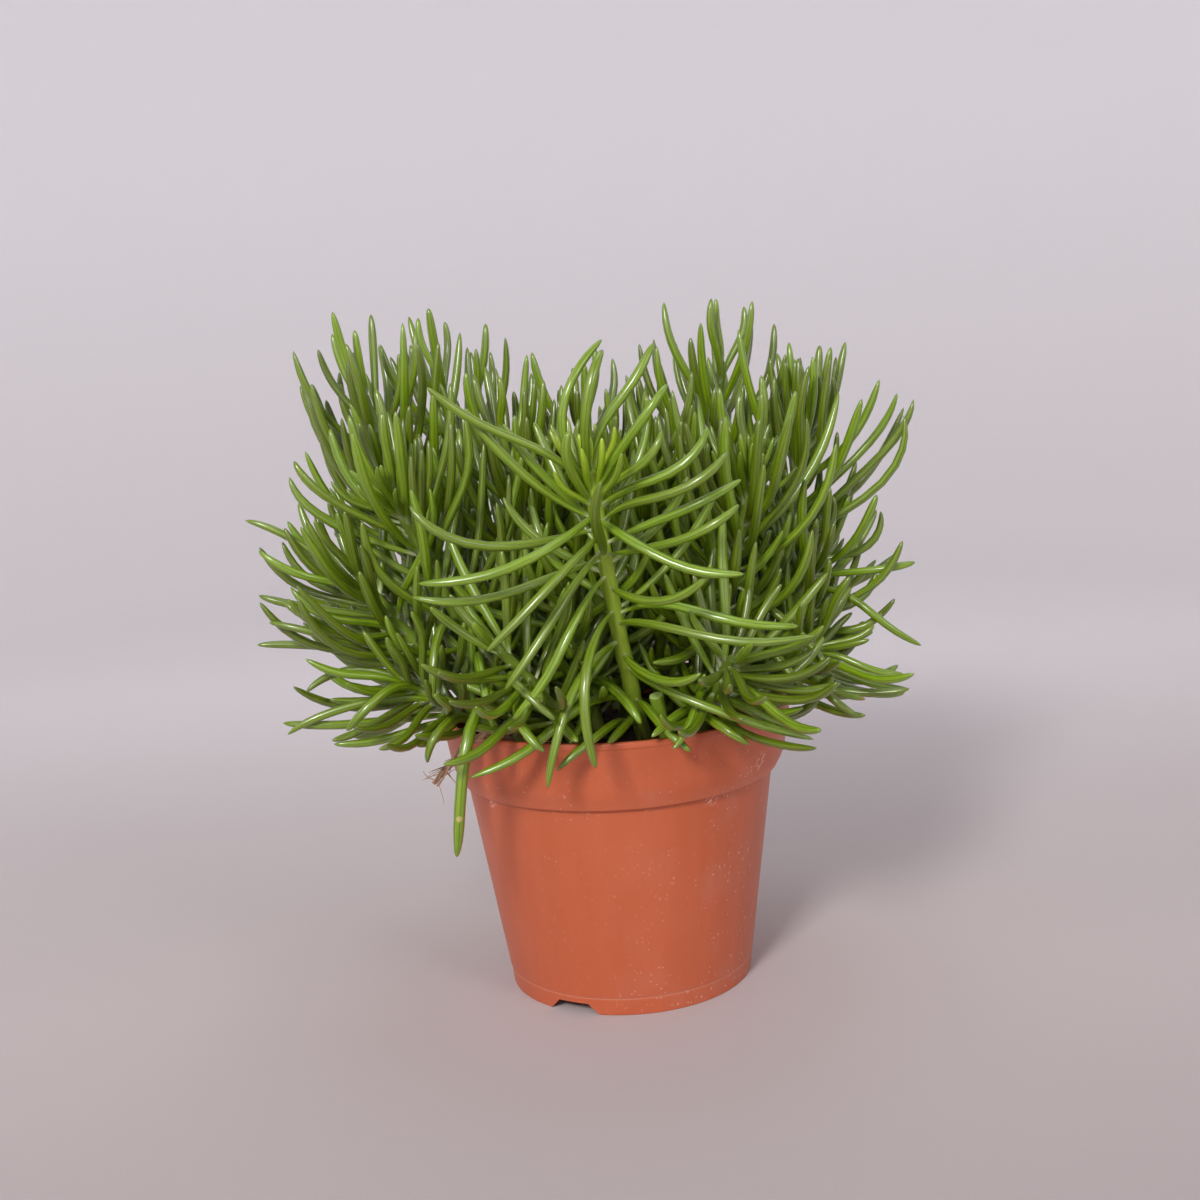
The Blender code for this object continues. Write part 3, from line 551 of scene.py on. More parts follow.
# Rubbed places on the pot: centre and radius in mm
SCUFFS = (((28.5, -44.2, 72.6), 3.5), ((45.8, -34.4, 81.5), 4.0), ((-42.6, -30.8, 72.4), 3.0))

# Dust on the pot: how fine the specks lie, their size, and the share of places without one
SPECKS = ((600.0, 0.16, 0.55), (380.0, 0.12, 0.66), (190.0, 0.07, 0.80))

# Studio: the floor's flat part, the radius of its curve and its wall, and the lamps, each with its
# place, size, power and tint
FLOOR_FLAT = 0.85
FLOOR_CURVE = 0.7
FLOOR_WALL = 1.5
FLOOR_STEPS = 8
FLOOR_SIDES = 96
LAMP_AIM = (0.0, 0.0, 0.12)
LAMPS = (
    ("key", (-0.45, -1.25, 0.95), 0.3, 16.4, (1.0, 0.99, 0.975)),
    ("fill", (0.8, -1.05, 0.85), 0.4, 3.0, (0.99, 0.99, 1.0)),
    ("top", (0.1, 0.3, 1.5), 0.8, 3.4, (1.0, 1.0, 1.0)),
)
SKY = (0.95, 0.96, 1.0, 1.0)
SKY_STRENGTH = 0.25

# The camera, seen from the pot's axis: place, directions, and focal length over sensor width
CAMERA_AT = (0.0, -0.5478, 0.2257)
CAMERA_RIGHT = (0.99788, -0.00571, -0.06481)
CAMERA_UP = (0.06484, 0.16899, 0.98348)
CAMERA_FORWARD = (-0.00533, 0.98560, -0.16901)
FOCAL_SHARE = 1633.0 / 1200.0
SENSOR_MM = 36.0


def millimetres(point):
    """A point given in millimetres, as an array in metres."""
    return np.array(point, float) * MM


def unit(vector):
    return vector / np.linalg.norm(vector)


def distances(points):
    """How far along a line of points each of them lies."""
    steps = np.linalg.norm(np.diff(points, axis=0), axis=1)
    return np.concatenate(([0.0], np.cumsum(steps)))


def on_line(at, along, points):
    """Points on a line whose given points lie at distances along it."""
    return np.stack([np.interp(at, along, points[:, k]) for k in range(3)], axis=1)


def on_bend(start, pull, end, share):
    """A point on the bend from start to end that is pulled towards a third point."""
    return (1 - share) ** 2 * start + 2 * share * (1 - share) * pull + share**2 * end


def square_to(ahead, turn):
    """The direction square to a stem, at a turn round it."""
    across = unit(np.cross(ahead, BACK))
    return math.cos(turn) * across + math.sin(turn) * np.cross(ahead, across)


def limited(value, low, high):
    """How far a value is from low to high, from 0 to 1."""
    return min(max((value - low) / (high - low), 0.0), 1.0)


# The growth of the solids, leaf by leaf


def balls_along(points, radii):
    """Points at even spacing along a line of points, with the radius there."""
    along = distances(points)
    count = max(int(along[-1] / BALL_SPACING), 2)
    at = np.linspace(0, along[-1], count + 1)
    return on_line(at, along, points), np.interp(at, along, radii)


class Room:
    """The space already taken, as balls along every stem, leaf, stub and root."""

    def __init__(self):
        self.centres = np.zeros((0, 3))
        self.radii = np.zeros(0)
        self.owners = np.zeros(0, int)

    def take(self, centres, radii, owner):
        self.centres = np.vstack((self.centres, centres))
        self.radii = np.concatenate((self.radii, radii))
        self.owners = np.concatenate((self.owners, np.full(len(radii), owner)))

    def is_free(self, centres, radii, owner, gap):
        """True if the balls keep their gap to the rest. Leaves of one stem meet at its bark."""
        low = centres.min(axis=0) - NEAR
        high = centres.max(axis=0) + NEAR
        near = ((self.centres > low) & (self.centres < high)).all(axis=1)
        apart = np.linalg.norm(centres[:, None] - self.centres[near][None], axis=2)
        gaps = apart - radii[:, None] - self.radii[near][None]
        own = self.owners[near] == owner
        outer = max(int(len(radii) * OWN_STEM_SHARE), 2)
        return (gaps[:, ~own] > gap).all() and (gaps[outer:, own] > OWN_STEM_GAP).all()


def is_clear_of_pot(centres, radii):
    """True if the balls keep a gap to the pot and its soil."""
    flat = np.stack((np.hypot(centres[:, 0], centres[:, 1]), centres[:, 2]), axis=1)
    nearest = np.full(len(flat), np.inf)
    inside = np.zeros(len(flat), bool)
    for start, end in zip(POT_OUTLINE, np.roll(POT_OUTLINE, -1, axis=0)):
        along = end - start
        share = np.clip((flat - start) @ along / (along @ along), 0, 1)
        apart = np.linalg.norm(flat - start - share[:, None] * along, axis=1)
        nearest = np.minimum(nearest, apart)
        if along[1]:
            crosses = (start[1] > flat[:, 1]) != (end[1] > flat[:, 1])
            at = start[0] + along[0] * (flat[:, 1] - start[1]) / along[1]
            inside ^= crosses & (flat[:, 0] < at)
    return not inside.any() and (nearest - radii > 2 * GAP).all()


class Stem:
    """A stem's centreline. It leaves the soil upright, leans out and turns up again."""

    def __init__(self, number, name, root, tip):
        self.number = number
        self.name = name
        foot, neck = foot_and_neck(root)
        tip = millimetres(tip)
        rise = np.interp(tip[2], KNEE_TIP_HEIGHTS, KNEE_RISES)
        knee = neck + (tip - neck) * np.array((STEM_KNEE_REACH, STEM_KNEE_REACH, rise))
        self.bend = (neck, knee, tip)
        shares = np.linspace(0, 1, STEM_STEPS + 1)
        self.points = np.vstack([foot] + [self.at(share)[0] for share in shares])
        self.tip_radius = TALL_STEM_TIP_RADIUS if name == TALL_STEM else STEM_TIP_RADIUS
        self.radii = np.concatenate(([STEM_BASE_RADIUS], self.radii_at(shares)))

    def at(self, share):
        """The point and the direction at a share of the way from the soil to the tip."""
        neck, knee, tip = self.bend
        ahead = (1 - share) * (knee - neck) + share * (tip - knee)
        return on_bend(neck, knee, tip, share), unit(ahead)

    def radii_at(self, shares):
        return STEM_BASE_RADIUS + (self.tip_radius - STEM_BASE_RADIUS) * shares


def foot_and_neck(root):
    """The buried end of a stem, and the point where it leaves the soil."""
    surface = np.array((root[0] * MM, root[1] * MM, SOIL_TOP))
    return surface - STEM_DEPTH * UP, surface + STEM_NECK * UP


def stub_points(root, top):
    """The centreline of a cut stub, from its buried end to its cut top."""
    return np.vstack((*foot_and_neck(root), millimetres(top)))


class Leaf:
    """A leaf's centreline from the middle of the stem to its tip, and its radius on the way."""

    def __init__(self, curve, share, ahead):
        self.curve = curve
        self.share = share
        self.ahead = ahead
        self.inner = False
        self.wavy = True
        self.along = distances(curve)
        self.length = self.along[-1]
        shares = np.array(LEAF_RINGS if self.length > SHORT_LEAF else SHORT_LEAF_RINGS)
        self.points = on_line(shares * self.length, self.along, curve)
        self.girth = 1 - SHORT_LEAF_SLIMNESS * (1 - min(self.length / SHORT_LEAF, 1.0))
        full = LEAF_CORNER_RADIUS * self.girth
        self.radii = full * np.interp(shares, LEAF_WIDTH_AT, LEAF_WIDTHS)

    def slim(self, share):
        self.girth *= share
        self.radii = self.radii * share

    def balls(self):
        return balls_along(self.points, self.radii)


def spiral_leaf(stem, share, azimuth, spread, lift, sway, length):
    """A leaf that leaves the stem at an angle of spread and turns upwards as it grows."""
    start, ahead = stem.at(share)
    radial = square_to(ahead, azimuth)
    side = np.cross(ahead, radial)
    first = math.cos(spread) * ahead + math.sin(spread) * radial
    curve = [start]
    for step in range(CURVE_STEPS):
        u = (step + 0.5) / CURVE_STEPS
        heading = unit(first + lift * u**LIFT_POWER * UP + sway * u * side)
        curve.append(curve[-1] + heading * length / CURVE_STEPS)
    return Leaf(np.array(curve), share, ahead)


def feature_leaf(stem, share, middle, tip):
    """A leaf from the stem through a chosen middle point to a chosen tip."""
    start, ahead = stem.at(share)
    tip = millimetres(tip)
    pull = 2 * millimetres(middle) - (start + tip) / 2
    shares = np.linspace(0, 1, CURVE_STEPS + 1)[:, None]
    return Leaf(on_bend(start, pull, tip, shares), share, ahead)


def youth_at(share):
    """How young the leaves are at a share of the stem, from 0 to 1 at the tip."""
    return max(0.0, (share - YOUNG_FROM) / (1 - YOUNG_FROM)) ** YOUNG_POWER


def spread_at(share):
    return OPEN_ANGLE - ANGLE_DROP * share - YOUNG_CLOSING * youth_at(share)


class Plant:
    """Every stem with its leaves, grown in one room, where each leaf finds a place."""

    def __init__(self):
        self.room = Room()
        self.stems = {row[0]: Stem(i, *row[:3]) for i, row in enumerate(STEMS)}
        self.leaves = {name: [] for name in self.stems}
        tall = self.stems[TALL_STEM]
        shares = np.linspace(0, 1, TALL_STEM_STEPS)
        self.tall_line = np.array([tall.at(share)[0] for share in shares])
        for stem in self.stems.values():
            self.room.take(*balls_along(stem.points, stem.radii), stem.number)
        for number, (_, root, top) in enumerate(STUBS):
            points = stub_points(root, top)
            self.room.take(*balls_along(points, np.full(3, STUB_RADIUS)), -1 - number)
        for strand in ROOT_STRANDS:
            radii = np.full(len(strand), ROOT_RADIUS)
            self.room.take(*balls_along(millimetres(strand), radii), -1 - len(STUBS))

    def fits(self, leaf, stem, gap=LEAF_GAP):
        """True if the leaf stays clear of the pot, the soil and everything grown so far."""
        centres, radii = leaf.balls()
        free = self.room.is_free(centres, radii, stem.number, gap)
        return free and is_clear_of_pot(centres[1:], radii[1:])

    def leaves_view(self, leaf):
        """True if the leaf keeps above the rim and doesn't cross in front of the tall stem."""
        centres = leaf.balls()[0][1:]
        line = self.tall_line
        beside = np.interp(centres[:, 2], line[:, 2], line[:, 0])
        ahead = np.interp(centres[:, 2], line[:, 2], line[:, 1])
        level = centres[:, 2] < line[-1, 2]
        close = abs(centres[:, 0] - beside) < TALL_STEM_CLEARANCE
        crosses = level & close & (centres[:, 1] < ahead)
        return leaf.points[:, 2].min() > LOWEST_LEAF and not crosses.any()

    def keep(self, leaf, stem):
        self.leaves[stem.name].append(leaf)
        self.room.take(*leaf.balls(), stem.number)

    def grow(self):
        """Grows all the leaves, first those of the solids."""
        self.grow_features()
        draw = random.Random(GROWTH_SEED)
        for turn in range(max(row[3] for row in STEMS)):
            for row in STEMS:
                self.grow_spiral_leaf(row, turn, draw)
        self.grow_cover()
        self.grow_heads()
        self.fill_room()

    def grow_features(self):
        for name, rows in FEATURE_LEAVES.items():
            stem = self.stems[name]
            for share, middle, tip in rows:
                leaf = feature_leaf(stem, share, middle, tip)
                if self.fits(leaf, stem):
                    if tip[2] < HANGING_TIP:
                        leaf.girth = HANGING_GIRTH
                        leaf.wavy = False
                    self.keep(leaf, stem)

    def grow_spiral_leaf(self, row, turn, draw):
        """One leaf of a stem's spiral, turned, raised or shortened until it fits, or none."""
        name, _, _, count, bare, lift, full_length = row
        order = count - 1 - turn
        if order < 0:
            return
        stem = self.stems[name]
        share = bare + (1 - bare) * (order + 0.5) / count
        grown = np.interp(share, (0, 1), LENGTH_SHARES) * (1 - YOUNG_SHORTNESS * youth_at(share))
        length = full_length * MM * grown
        azimuth = order * GOLDEN_ANGLE + stem.number
        for attempt in range(ATTEMPTS):
            late = attempt / ATTEMPTS
            play = FIRST_PLAY + late
            leaf = spiral_leaf(
                stem,
                share,
                azimuth + draw.uniform(-TURN_PLAY, TURN_PLAY) * play,
                spread_at(share) + draw.uniform(*ANGLE_PLAY) * play,
                lift * draw.uniform(*LIFT_SHARES) + draw.uniform(*LIFT_PLAY) * play,
                draw.uniform(-SWAY_PLAY, SWAY_PLAY) * play,
                length * draw.uniform(*LENGTH_PLAY) * (1 - (1 - LAST_LENGTH) * late),
            )
            if self.leaves_view(leaf) and self.fits(leaf, stem):
                self.keep(leaf, stem)
                return

    def grow_cover(self):
        """Leaves over the soil and the rim, each moved about its place until it fits."""
        draw = random.Random(COVER_SEED)
        for name, rows in COVER_LEAVES.items():
            stem = self.stems[name]
            for share, *ends in rows:
                for attempt in range(COVER_TRIES):
                    play = COVER_PLAY * attempt / COVER_TRIES
                    moved = [[at + draw.uniform(-play, play) for at in point] for point in ends]
                    start = share + COVER_SHARE_PLAY * draw.uniform(-play, play)
                    leaf = feature_leaf(stem, start, *moved)
                    if self.fits(leaf, stem, COVER_GAP):
                        self.keep(leaf, stem)
                        break

    def grow_heads(self):
        """Small new leaves that close up round the growing tips."""
        draw = random.Random(HEAD_SEED)
        top = CAD_HIGH[2] - FILL_MARGIN
        for name in HEADS:
            stem = self.stems[name]
            for order in range(HEAD_LEAVES * HEAD_TRIES):
                late = (order // HEAD_TRIES + 0.5) / HEAD_LEAVES
                leaf = spiral_leaf(
                    stem,
                    HEAD_FROM + (1 - HEAD_FROM) * late,
                    order * GOLDEN_ANGLE + draw.uniform(-HEAD_TURN_PLAY, HEAD_TURN_PLAY),
                    np.interp(late, (0, 1), HEAD_SPREADS) * draw.uniform(*HEAD_SPREAD_SHARES),
                    draw.uniform(*HEAD_LIFTS),
                    draw.uniform(-HEAD_SWAY, HEAD_SWAY),
                    np.interp(late, (0, 1), HEAD_LENGTHS) * draw.uniform(*HEAD_LENGTH_SHARES),
                )
                leaf.slim(HEAD_SLIMNESS)
                if leaf.points[-1, 2] < top and self.fits(leaf, stem, FILL_GAP):
                    self.keep(leaf, stem)

    def fill_room(self):
        """Thinner leaves wherever there is room for them between the others."""
        draw = random.Random(FILL_SEED)
        low, high = box_round_pot(FILL_MARGIN)
        tops = {
            name: max(leaf.points[:, 2].max() for leaf in grown) - FILL_BELOW
            for name, grown in self.leaves.items()
        }
        for _ in range(FILL_ROUNDS):
            for name, _, _, _, bare, lift, full_length in STEMS[1:]:
                stem = self.stems[name]
                if draw.random() < UNDERGROWTH:
                    share = draw.uniform(*UNDERGROWTH_SHARES)
                else:
                    lowest = FILL_BARE_SHARE * bare + FILL_ABOVE_BARE
                    share = draw.uniform(lowest, FILL_TOP_SHARE)
                shortness = FILL_YOUNG_SHORTNESS * youth_at(share)
                leaf = spiral_leaf(
                    stem,
                    share,
                    draw.uniform(0, FULL_TURN),
                    spread_at(share) + draw.uniform(*FILL_SPREAD_PLAY),
                    lift * draw.uniform(*FILL_LIFT_SHARES) + draw.uniform(*FILL_LIFT_PLAY),
                    draw.uniform(-FILL_SWAY, FILL_SWAY),
                    full_length * MM * draw.uniform(*FILL_LENGTHS) * (1 - shortness),
                )
                leaf.slim(FILL_SLIMNESS)
                leaf.inner = True
                body = leaf.points
                top = body[:, 2].max()
                inside = (body > low).all() and (body < high).all() and top < tops[name]
                behind = body[:, 1].min() > FILL_FRONT_Y or top < FILL_FRONT_TOP
                in_room = inside and behind and self.leaves_view(leaf)
                if in_room and self.fits(leaf, stem, FILL_GAP):
                    self.keep(leaf, stem)


def middle_of_pot():
    low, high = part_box("pot")
    return Vector(((low.x + high.x) / 2, (low.y + high.y) / 2, 0.0))


def box_round_pot(margin):
    """The box of the whole plant, made smaller by the margin, measured from the pot's axis."""
    axis = np.array(middle_of_pot())
    return np.array(CAD_LOW) - axis + margin, np.array(CAD_HIGH) - axis - margin


# Meshes


class Build:
    """Vertices, faces and the values that the materials read, gathered for one mesh."""

    def __init__(self):
        self.points = []
        self.faces = []
        self.where = []
        self.kind = []
        self.slots = []
        self.places = []
        self.count = 0

    def add(self, points, where, kind, faces, places, slot=0):
        self.points.append(points)
        self.where.append(where)
        self.kind.append(kind)
        self.faces.extend([tuple(self.count + k for k in face) for face in faces])
        self.slots.extend([slot] * len(faces))
        self.places.extend(places)
        self.count += len(points)

    def object(self, name, materials):
        mesh = bpy.data.meshes.new(name)
        mesh.from_pydata(np.vstack(self.points), [], self.faces)
        for attribute, rows in (("leaf_at", self.where), ("leaf_kind", self.kind)):
            layer = mesh.attributes.new(attribute, "FLOAT_VECTOR", "POINT")
            layer.data.foreach_set("vector", np.vstack(rows).astype(np.float32).ravel())
        uv = mesh.uv_layers.new(name="OFBake")
        flat = [pair for face in self.places for corner in face for pair in corner]
        uv.data.foreach_set("uv", np.array(flat, np.float32))
        for material in materials:
            mesh.materials.append(material)
        mesh.polygons.foreach_set("material_index", self.slots)
        mesh.shade_smooth()
        return in_scene(name, mesh)


class Cells:
    """Equal upright cells of the unit square, one for each strip of a mesh."""

    def __init__(self, count):
        self.columns = max(1, math.ceil(math.sqrt(count * CELL_SLENDERNESS)))
        self.rows = math.ceil(count / self.columns)
        self.used = 0

    def next(self):
        """Maps (share round, share along) of the next strip into its cell."""
        row, column = divmod(self.used, self.columns)
        self.used += 1

        def place(u, v):
            u = CELL_INSET + (1 - 2 * CELL_INSET) * u
            v = CELL_INSET + (1 - 2 * CELL_INSET) * v
            return ((column + u) / self.columns, (row + v) / self.rows)

        return place


def strip_faces(rings, sides, place, shares, tip=False):
    """The faces of a tube of rings, its root cap and its point, with their places on the map."""
    faces, places = [], []
    for i in range(rings - 1):
        low, high = shares[i], shares[i + 1]
        for k in range(sides):
            n = (k + 1) % sides
            faces.append((i * sides + k, i * sides + n, (i + 1) * sides + n, (i + 1) * sides + k))
            u, w = k / sides, (k + 1) / sides
            places.append([place(u, low), place(w, low), place(w, high), place(u, high)])
    faces.append(tuple(reversed(range(sides))))
    cap = [0.5 + 0.4 * math.cos(FULL_TURN * k / sides) for k in range(sides)]
    places.append([place(u, 0.0) for u in reversed(cap)])
    last = (rings - 1) * sides
    if tip:
        for k in range(sides):
            faces.append((last + k, last + (k + 1) % sides, rings * sides))
            u, w = k / sides, (k + 1) / sides
            places.append([place(u, shares[-1]), place(w, shares[-1]), place((u + w) / 2, 1.0)])
    else:
        faces.append(tuple(last + k for k in range(sides)))
        places.append([place(u, 1.0) for u in cap])
    return faces, places


def carried_frames(points, first_up):
    """A side and an up direction at every point of a line, turned as little as possible."""
    headings = np.gradient(points, axis=0)
    headings /= np.linalg.norm(headings, axis=1)[:, None]
    ups = []
    up = first_up
    for heading in headings:
        up = unit(up - heading * np.dot(up, heading))
        ups.append(up)
    ups = np.array(ups)
    return np.cross(headings, ups), ups


def turns_round(sides):
    return FULL_TURN * np.arange(sides) / sides


def outward(angles, across, ups):
    """The directions out of a tube, ring by ring."""
    level = np.cos(angles)[None, :, None] * across[:, None]
    return level + np.sin(angles)[None, :, None] * ups[:, None]


def smooth_curve(leaf, shares):
    """Points at shares of the leaf's length, on one smooth curve through its line."""
    at = leaf.along / leaf.length
    powers = [np.polyfit(at, leaf.curve[:, k], CURVE_DEGREE) for k in range(3)]
    return np.stack([np.polyval(power, shares) for power in powers], axis=1)


def waved_line(leaf, shares, bounds, draw):
    """The leaf's curve in a gentle wave, where that stays in the bounds, with its frames."""
    points = smooth_curve(leaf, shares)
    first_up = leaf.ahead if abs(leaf.ahead @ unit(points[1] - points[0])) < STEEP else UP
    across, ups = carried_frames(points, first_up)
    wave = leaf.length * np.sin(FULL_TURN * shares)[:, None]
    sway = draw.uniform(*SIDE_WAVES) * across + draw.uniform(*UP_WAVES) * ups
    waved = points + wave * sway
    low, high = bounds
    inside = (waved > low + 2 * LEAF_RADIUS).all() and (waved < high - 2 * LEAF_RADIUS).all()
    if leaf.wavy and inside:
        return waved, *carried_frames(waved, first_up)
    return points, across, ups


def add_leaf(build, leaf, cells, freshness, bounds, draw):
    """One finger leaf: slim at its root, fullest past its middle, with a flatter upper side."""
    shares = np.append(FINE_RINGS, 1.0)
    points, across, ups = waved_line(leaf, shares, bounds, draw)
    full = LEAF_RADIUS * leaf.girth * draw.uniform(*LEAF_GIRTHS)
    bluntness = draw.uniform(*BLUNTNESS)
    widths = full * np.interp(shares**bluntness, FINE_WIDTH_AT, FINE_WIDTHS)
    phase = draw.uniform(0, FULL_TURN)
    widths = widths * (1 + RIPPLE * np.sin(phase + shares * leaf.length / MM * RIPPLE_TURN))
    widths = widths[:-1, None]
    angles = turns_round(FINE_SIDES)
    wide = np.cos(angles) * LEAF_WIDE
    thick = np.sin(angles) * np.where(np.sin(angles) > 0, *LEAF_THICK)
    rings = (
        points[:-1, None]
        + widths[..., None] * wide[None, :, None] * across[:-1, None]
        + widths[..., None] * thick[None, :, None] * ups[:-1, None]
    )
    verts = np.clip(np.vstack((rings.reshape(-1, 3), points[-1])), *bounds)
    where = np.zeros((len(verts), 3))
    where[:-1, 0] = (widths * wide).ravel() / MM
    where[:-1, 1] = (widths * thick).ravel() / MM
    where[:, 2] = on_rings(shares * leaf.length / MM, FINE_SIDES)
    kind = np.zeros((len(verts), 3))
    kind[:, 0] = on_rings(shares, FINE_SIDES)
    late = limited(leaf.share, FRESH_FROM, 1.0)
    small = limited(leaf.length, *reversed(FRESH_LENGTHS))
    kind[:, 1] = late * small * freshness
    # Inner leaves take their tone from the darker end: painted shade deep in the foliage
    kind[:, 2] = draw.uniform(*(INNER_SHADED_TONES if leaf.inner else OUTER_TONES))
    strip = strip_faces(len(FINE_RINGS), FINE_SIDES, cells.next(), FINE_RINGS, tip=True)
    build.add(verts, where, kind, *strip)


def on_rings(values, sides):
    """Each value for every vertex of its ring, and the last one for the point of the strip."""
    return np.append(np.repeat(values[:-1], sides), values[-1])


def nearness(points, centre, radius):
    """How near points are to a centre, from 1 there down to 0 at the radius."""
    return np.clip(1 - np.linalg.norm(points - centre, axis=1) / radius, 0, 1)


def add_bark(build, stem, leaves, cells, draw):
    """The stem, with a raised pad under every leaf and small scars where old leaves fell."""
    neck, knee, tip = stem.bend
    length = np.linalg.norm(tip - neck)
    shares = np.linspace(0, 1, int(length / BARK_RING) + BARK_LEAST_RINGS)
    bend = np.array([stem.at(share)[0] for share in shares])
    foot = stem.points[0]
    points = np.vstack((foot, (foot + neck) / 2, bend, tip + stem.at(1.0)[1] * STEM_POINT))
    radii = stem.radii_at(shares)
    if stem.name == TALL_STEM:
        radii = radii * (1 + TALL_STEM_FULLNESS * np.clip(shares / TALL_STEM_FULL_AT, 0, 1))
    radii = np.concatenate(([STEM_BASE_RADIUS] * 2, radii))
    heights = np.concatenate((BURIED_HEIGHTS, shares))
    across, ups = carried_frames(points, BACK)
    angles = turns_round(BARK_SIDES)
    out = outward(angles, across[:-1], ups[:-1])
    turns = heights * length / MM * BARK_SWAY_TURN + stem.number
    sway = 1 + BARK_SWAY * np.sin(turns)[:, None]
    ridges = 1 + BARK_RIDGE * np.cos(BARK_RIDGES * angles + stem.number)[None]
    flat = (points[:-1, None] + (radii[:, None] * sway * ridges)[..., None] * out).reshape(-1, 3)
    out = out.reshape(-1, 3)
    pale = np.zeros(len(flat))
    scar = np.zeros(len(flat))
    for leaf in leaves:
        start, towards = leaf.curve[0], unit(leaf.curve[1] - leaf.curve[0])
        seat = start + towards * stem_radius(stem, leaf.share)
        pale = np.maximum(pale, nearness(flat, seat, PAD_RADIUS))
    last_scar = min(leaf.share for leaf in leaves) - SCAR_MARGIN
    spot = SCAR_FROM
    turn = draw.uniform(0, 6)
    while spot < last_scar:
        point, ahead = stem.at(spot)
        centre = point + square_to(ahead, turn) * stem_radius(stem, spot)
        scar = np.maximum(scar, nearness(flat, centre, SCAR_RADIUS))
        spot += SCAR_SPACING / length * draw.uniform(*SCAR_SPACING_PLAY)
        turn += GOLDEN_ANGLE
    flat += out * (np.sqrt(pale) * PAD_HEIGHT + np.sqrt(scar) * SCAR_HEIGHT)[:, None]
    verts = np.vstack((flat, points[-1]))
    where = np.zeros((len(verts), 3))
    where[:-1] = out * np.repeat(radii, BARK_SIDES)[:, None] / MM
    where[:, 2] = on_rings(np.append(heights, 1.0) * length, BARK_SIDES) / MM
    kind = np.zeros((len(verts), 3))
    kind[:, 0] = on_rings(np.append(np.clip(heights, 0, 1), 1.0), BARK_SIDES)
    kind[:-1, 1] = pale
    kind[:-1, 2] = scar
    rings = len(points) - 1
    steps = np.linspace(0, BARK_TOP_ON_MAP, rings)
    build.add(verts, where, kind, *strip_faces(rings, BARK_SIDES, cells.next(), steps, True), 1)


def stem_radius(stem, share):
    return np.interp(share, (0, 1), (STEM_BASE_RADIUS, stem.tip_radius))


# Materials


class Value:
    """A number or a vector from a node of a material, with the arithmetic of numbers."""

    def __init__(self, paint, socket):
        self.paint = paint
        self.socket = socket

    def __add__(self, other):
        return self.paint.math("ADD", self, other)

    def __sub__(self, other):
        return self.paint.math("SUBTRACT", self, other)

    def __mul__(self, other):
        return self.paint.math("MULTIPLY", self, other)


class Paint:
    """A material with a short way to add and join its nodes."""

    def __init__(self, name, **sockets):
        self.material = bpy.data.materials.new(name)
        self.material.use_nodes = True
        self.tree = self.material.node_tree
        self.shader = self.tree.nodes["Principled BSDF"]
        self.base = None
        for socket, value in sockets.items():
            self.put(value, self.shader.inputs[socket.replace("_", " ")])

    def put(self, value, socket):
        if isinstance(value, Value):
            self.tree.links.new(value.socket, socket)
        elif socket.type == "RGBA":
            socket.default_value = (*value, 1.0)
        else:
            socket.default_value = value

    def node(self, kind, inputs, output=0, **settings):
        """An output of a new node with these inputs and settings."""
        made = self.tree.nodes.new("ShaderNode" + kind)
        for key, value in settings.items():
            setattr(made, key, value)
        for key, value in inputs.items():
            self.put(value, made.inputs[key])
        return Value(self, made.outputs[output])

    def math(self, operation, *values):
        return self.node("Math", dict(enumerate(values)), operation=operation)

    def ramp(self, value, low, high, start=0.0, end=1.0):
        """value from low to high, taken smoothly from start to end."""
        inputs = {"Value": value, "From Min": low, "From Max": high, "To Min": start, "To Max": end}
        return self.node("MapRange", inputs, interpolation_type="SMOOTHSTEP")

    def noise(self, vector, scale, detail, roughness=0.5, output="Fac"):
        inputs = {"Vector": vector, "Scale": scale, "Detail": detail, "Roughness": roughness}
        return self.node("TexNoise", inputs, output)

    def place(self):
        return self.node("TexCoord", {}, "Object")

    def split(self, vector):
        parts = self.node("SeparateXYZ", {"Vector": vector}).socket.node.outputs
        return [Value(self, part) for part in parts]

    def split_attribute(self, name):
        return self.split(self.node("Attribute", {}, "Vector", attribute_name=name))

    def join(self, x, y, z):
        return self.node("CombineXYZ", {"X": x, "Y": y, "Z": z})

    def away_from(self, centre, place):
        """The distance of a place from a point that is given in mm from the pot's axis."""
        point = Vector(millimetres(centre)) + middle_of_pot()
        return self.node("VectorMath", {0: place, 1: point}, "Value", operation="DISTANCE")

    def mixed(self, share, first, second):
        inputs = {"Factor": share, "A": first, "B": second}
        return self.node("Mix", inputs, "Result", data_type="RGBA", blend_type="MIX")

    def tint(self, share, colour):
        """Takes the base colour towards another one, by a share."""
        self.base = self.mixed(share, self.base, colour)

    def finish(self, roughness, height=None, distance=0.0, strength=1.0):
        """Joins the base colour, the roughness and any relief to the shader."""
        self.put(self.base, self.shader.inputs["Base Color"])
        self.put(roughness, self.shader.inputs["Roughness"])
        if height is not None:
            inputs = {"Height": height, "Distance": distance, "Strength": strength}
            self.put(self.node("Bump", inputs), self.shader.inputs["Normal"])
        return self.material


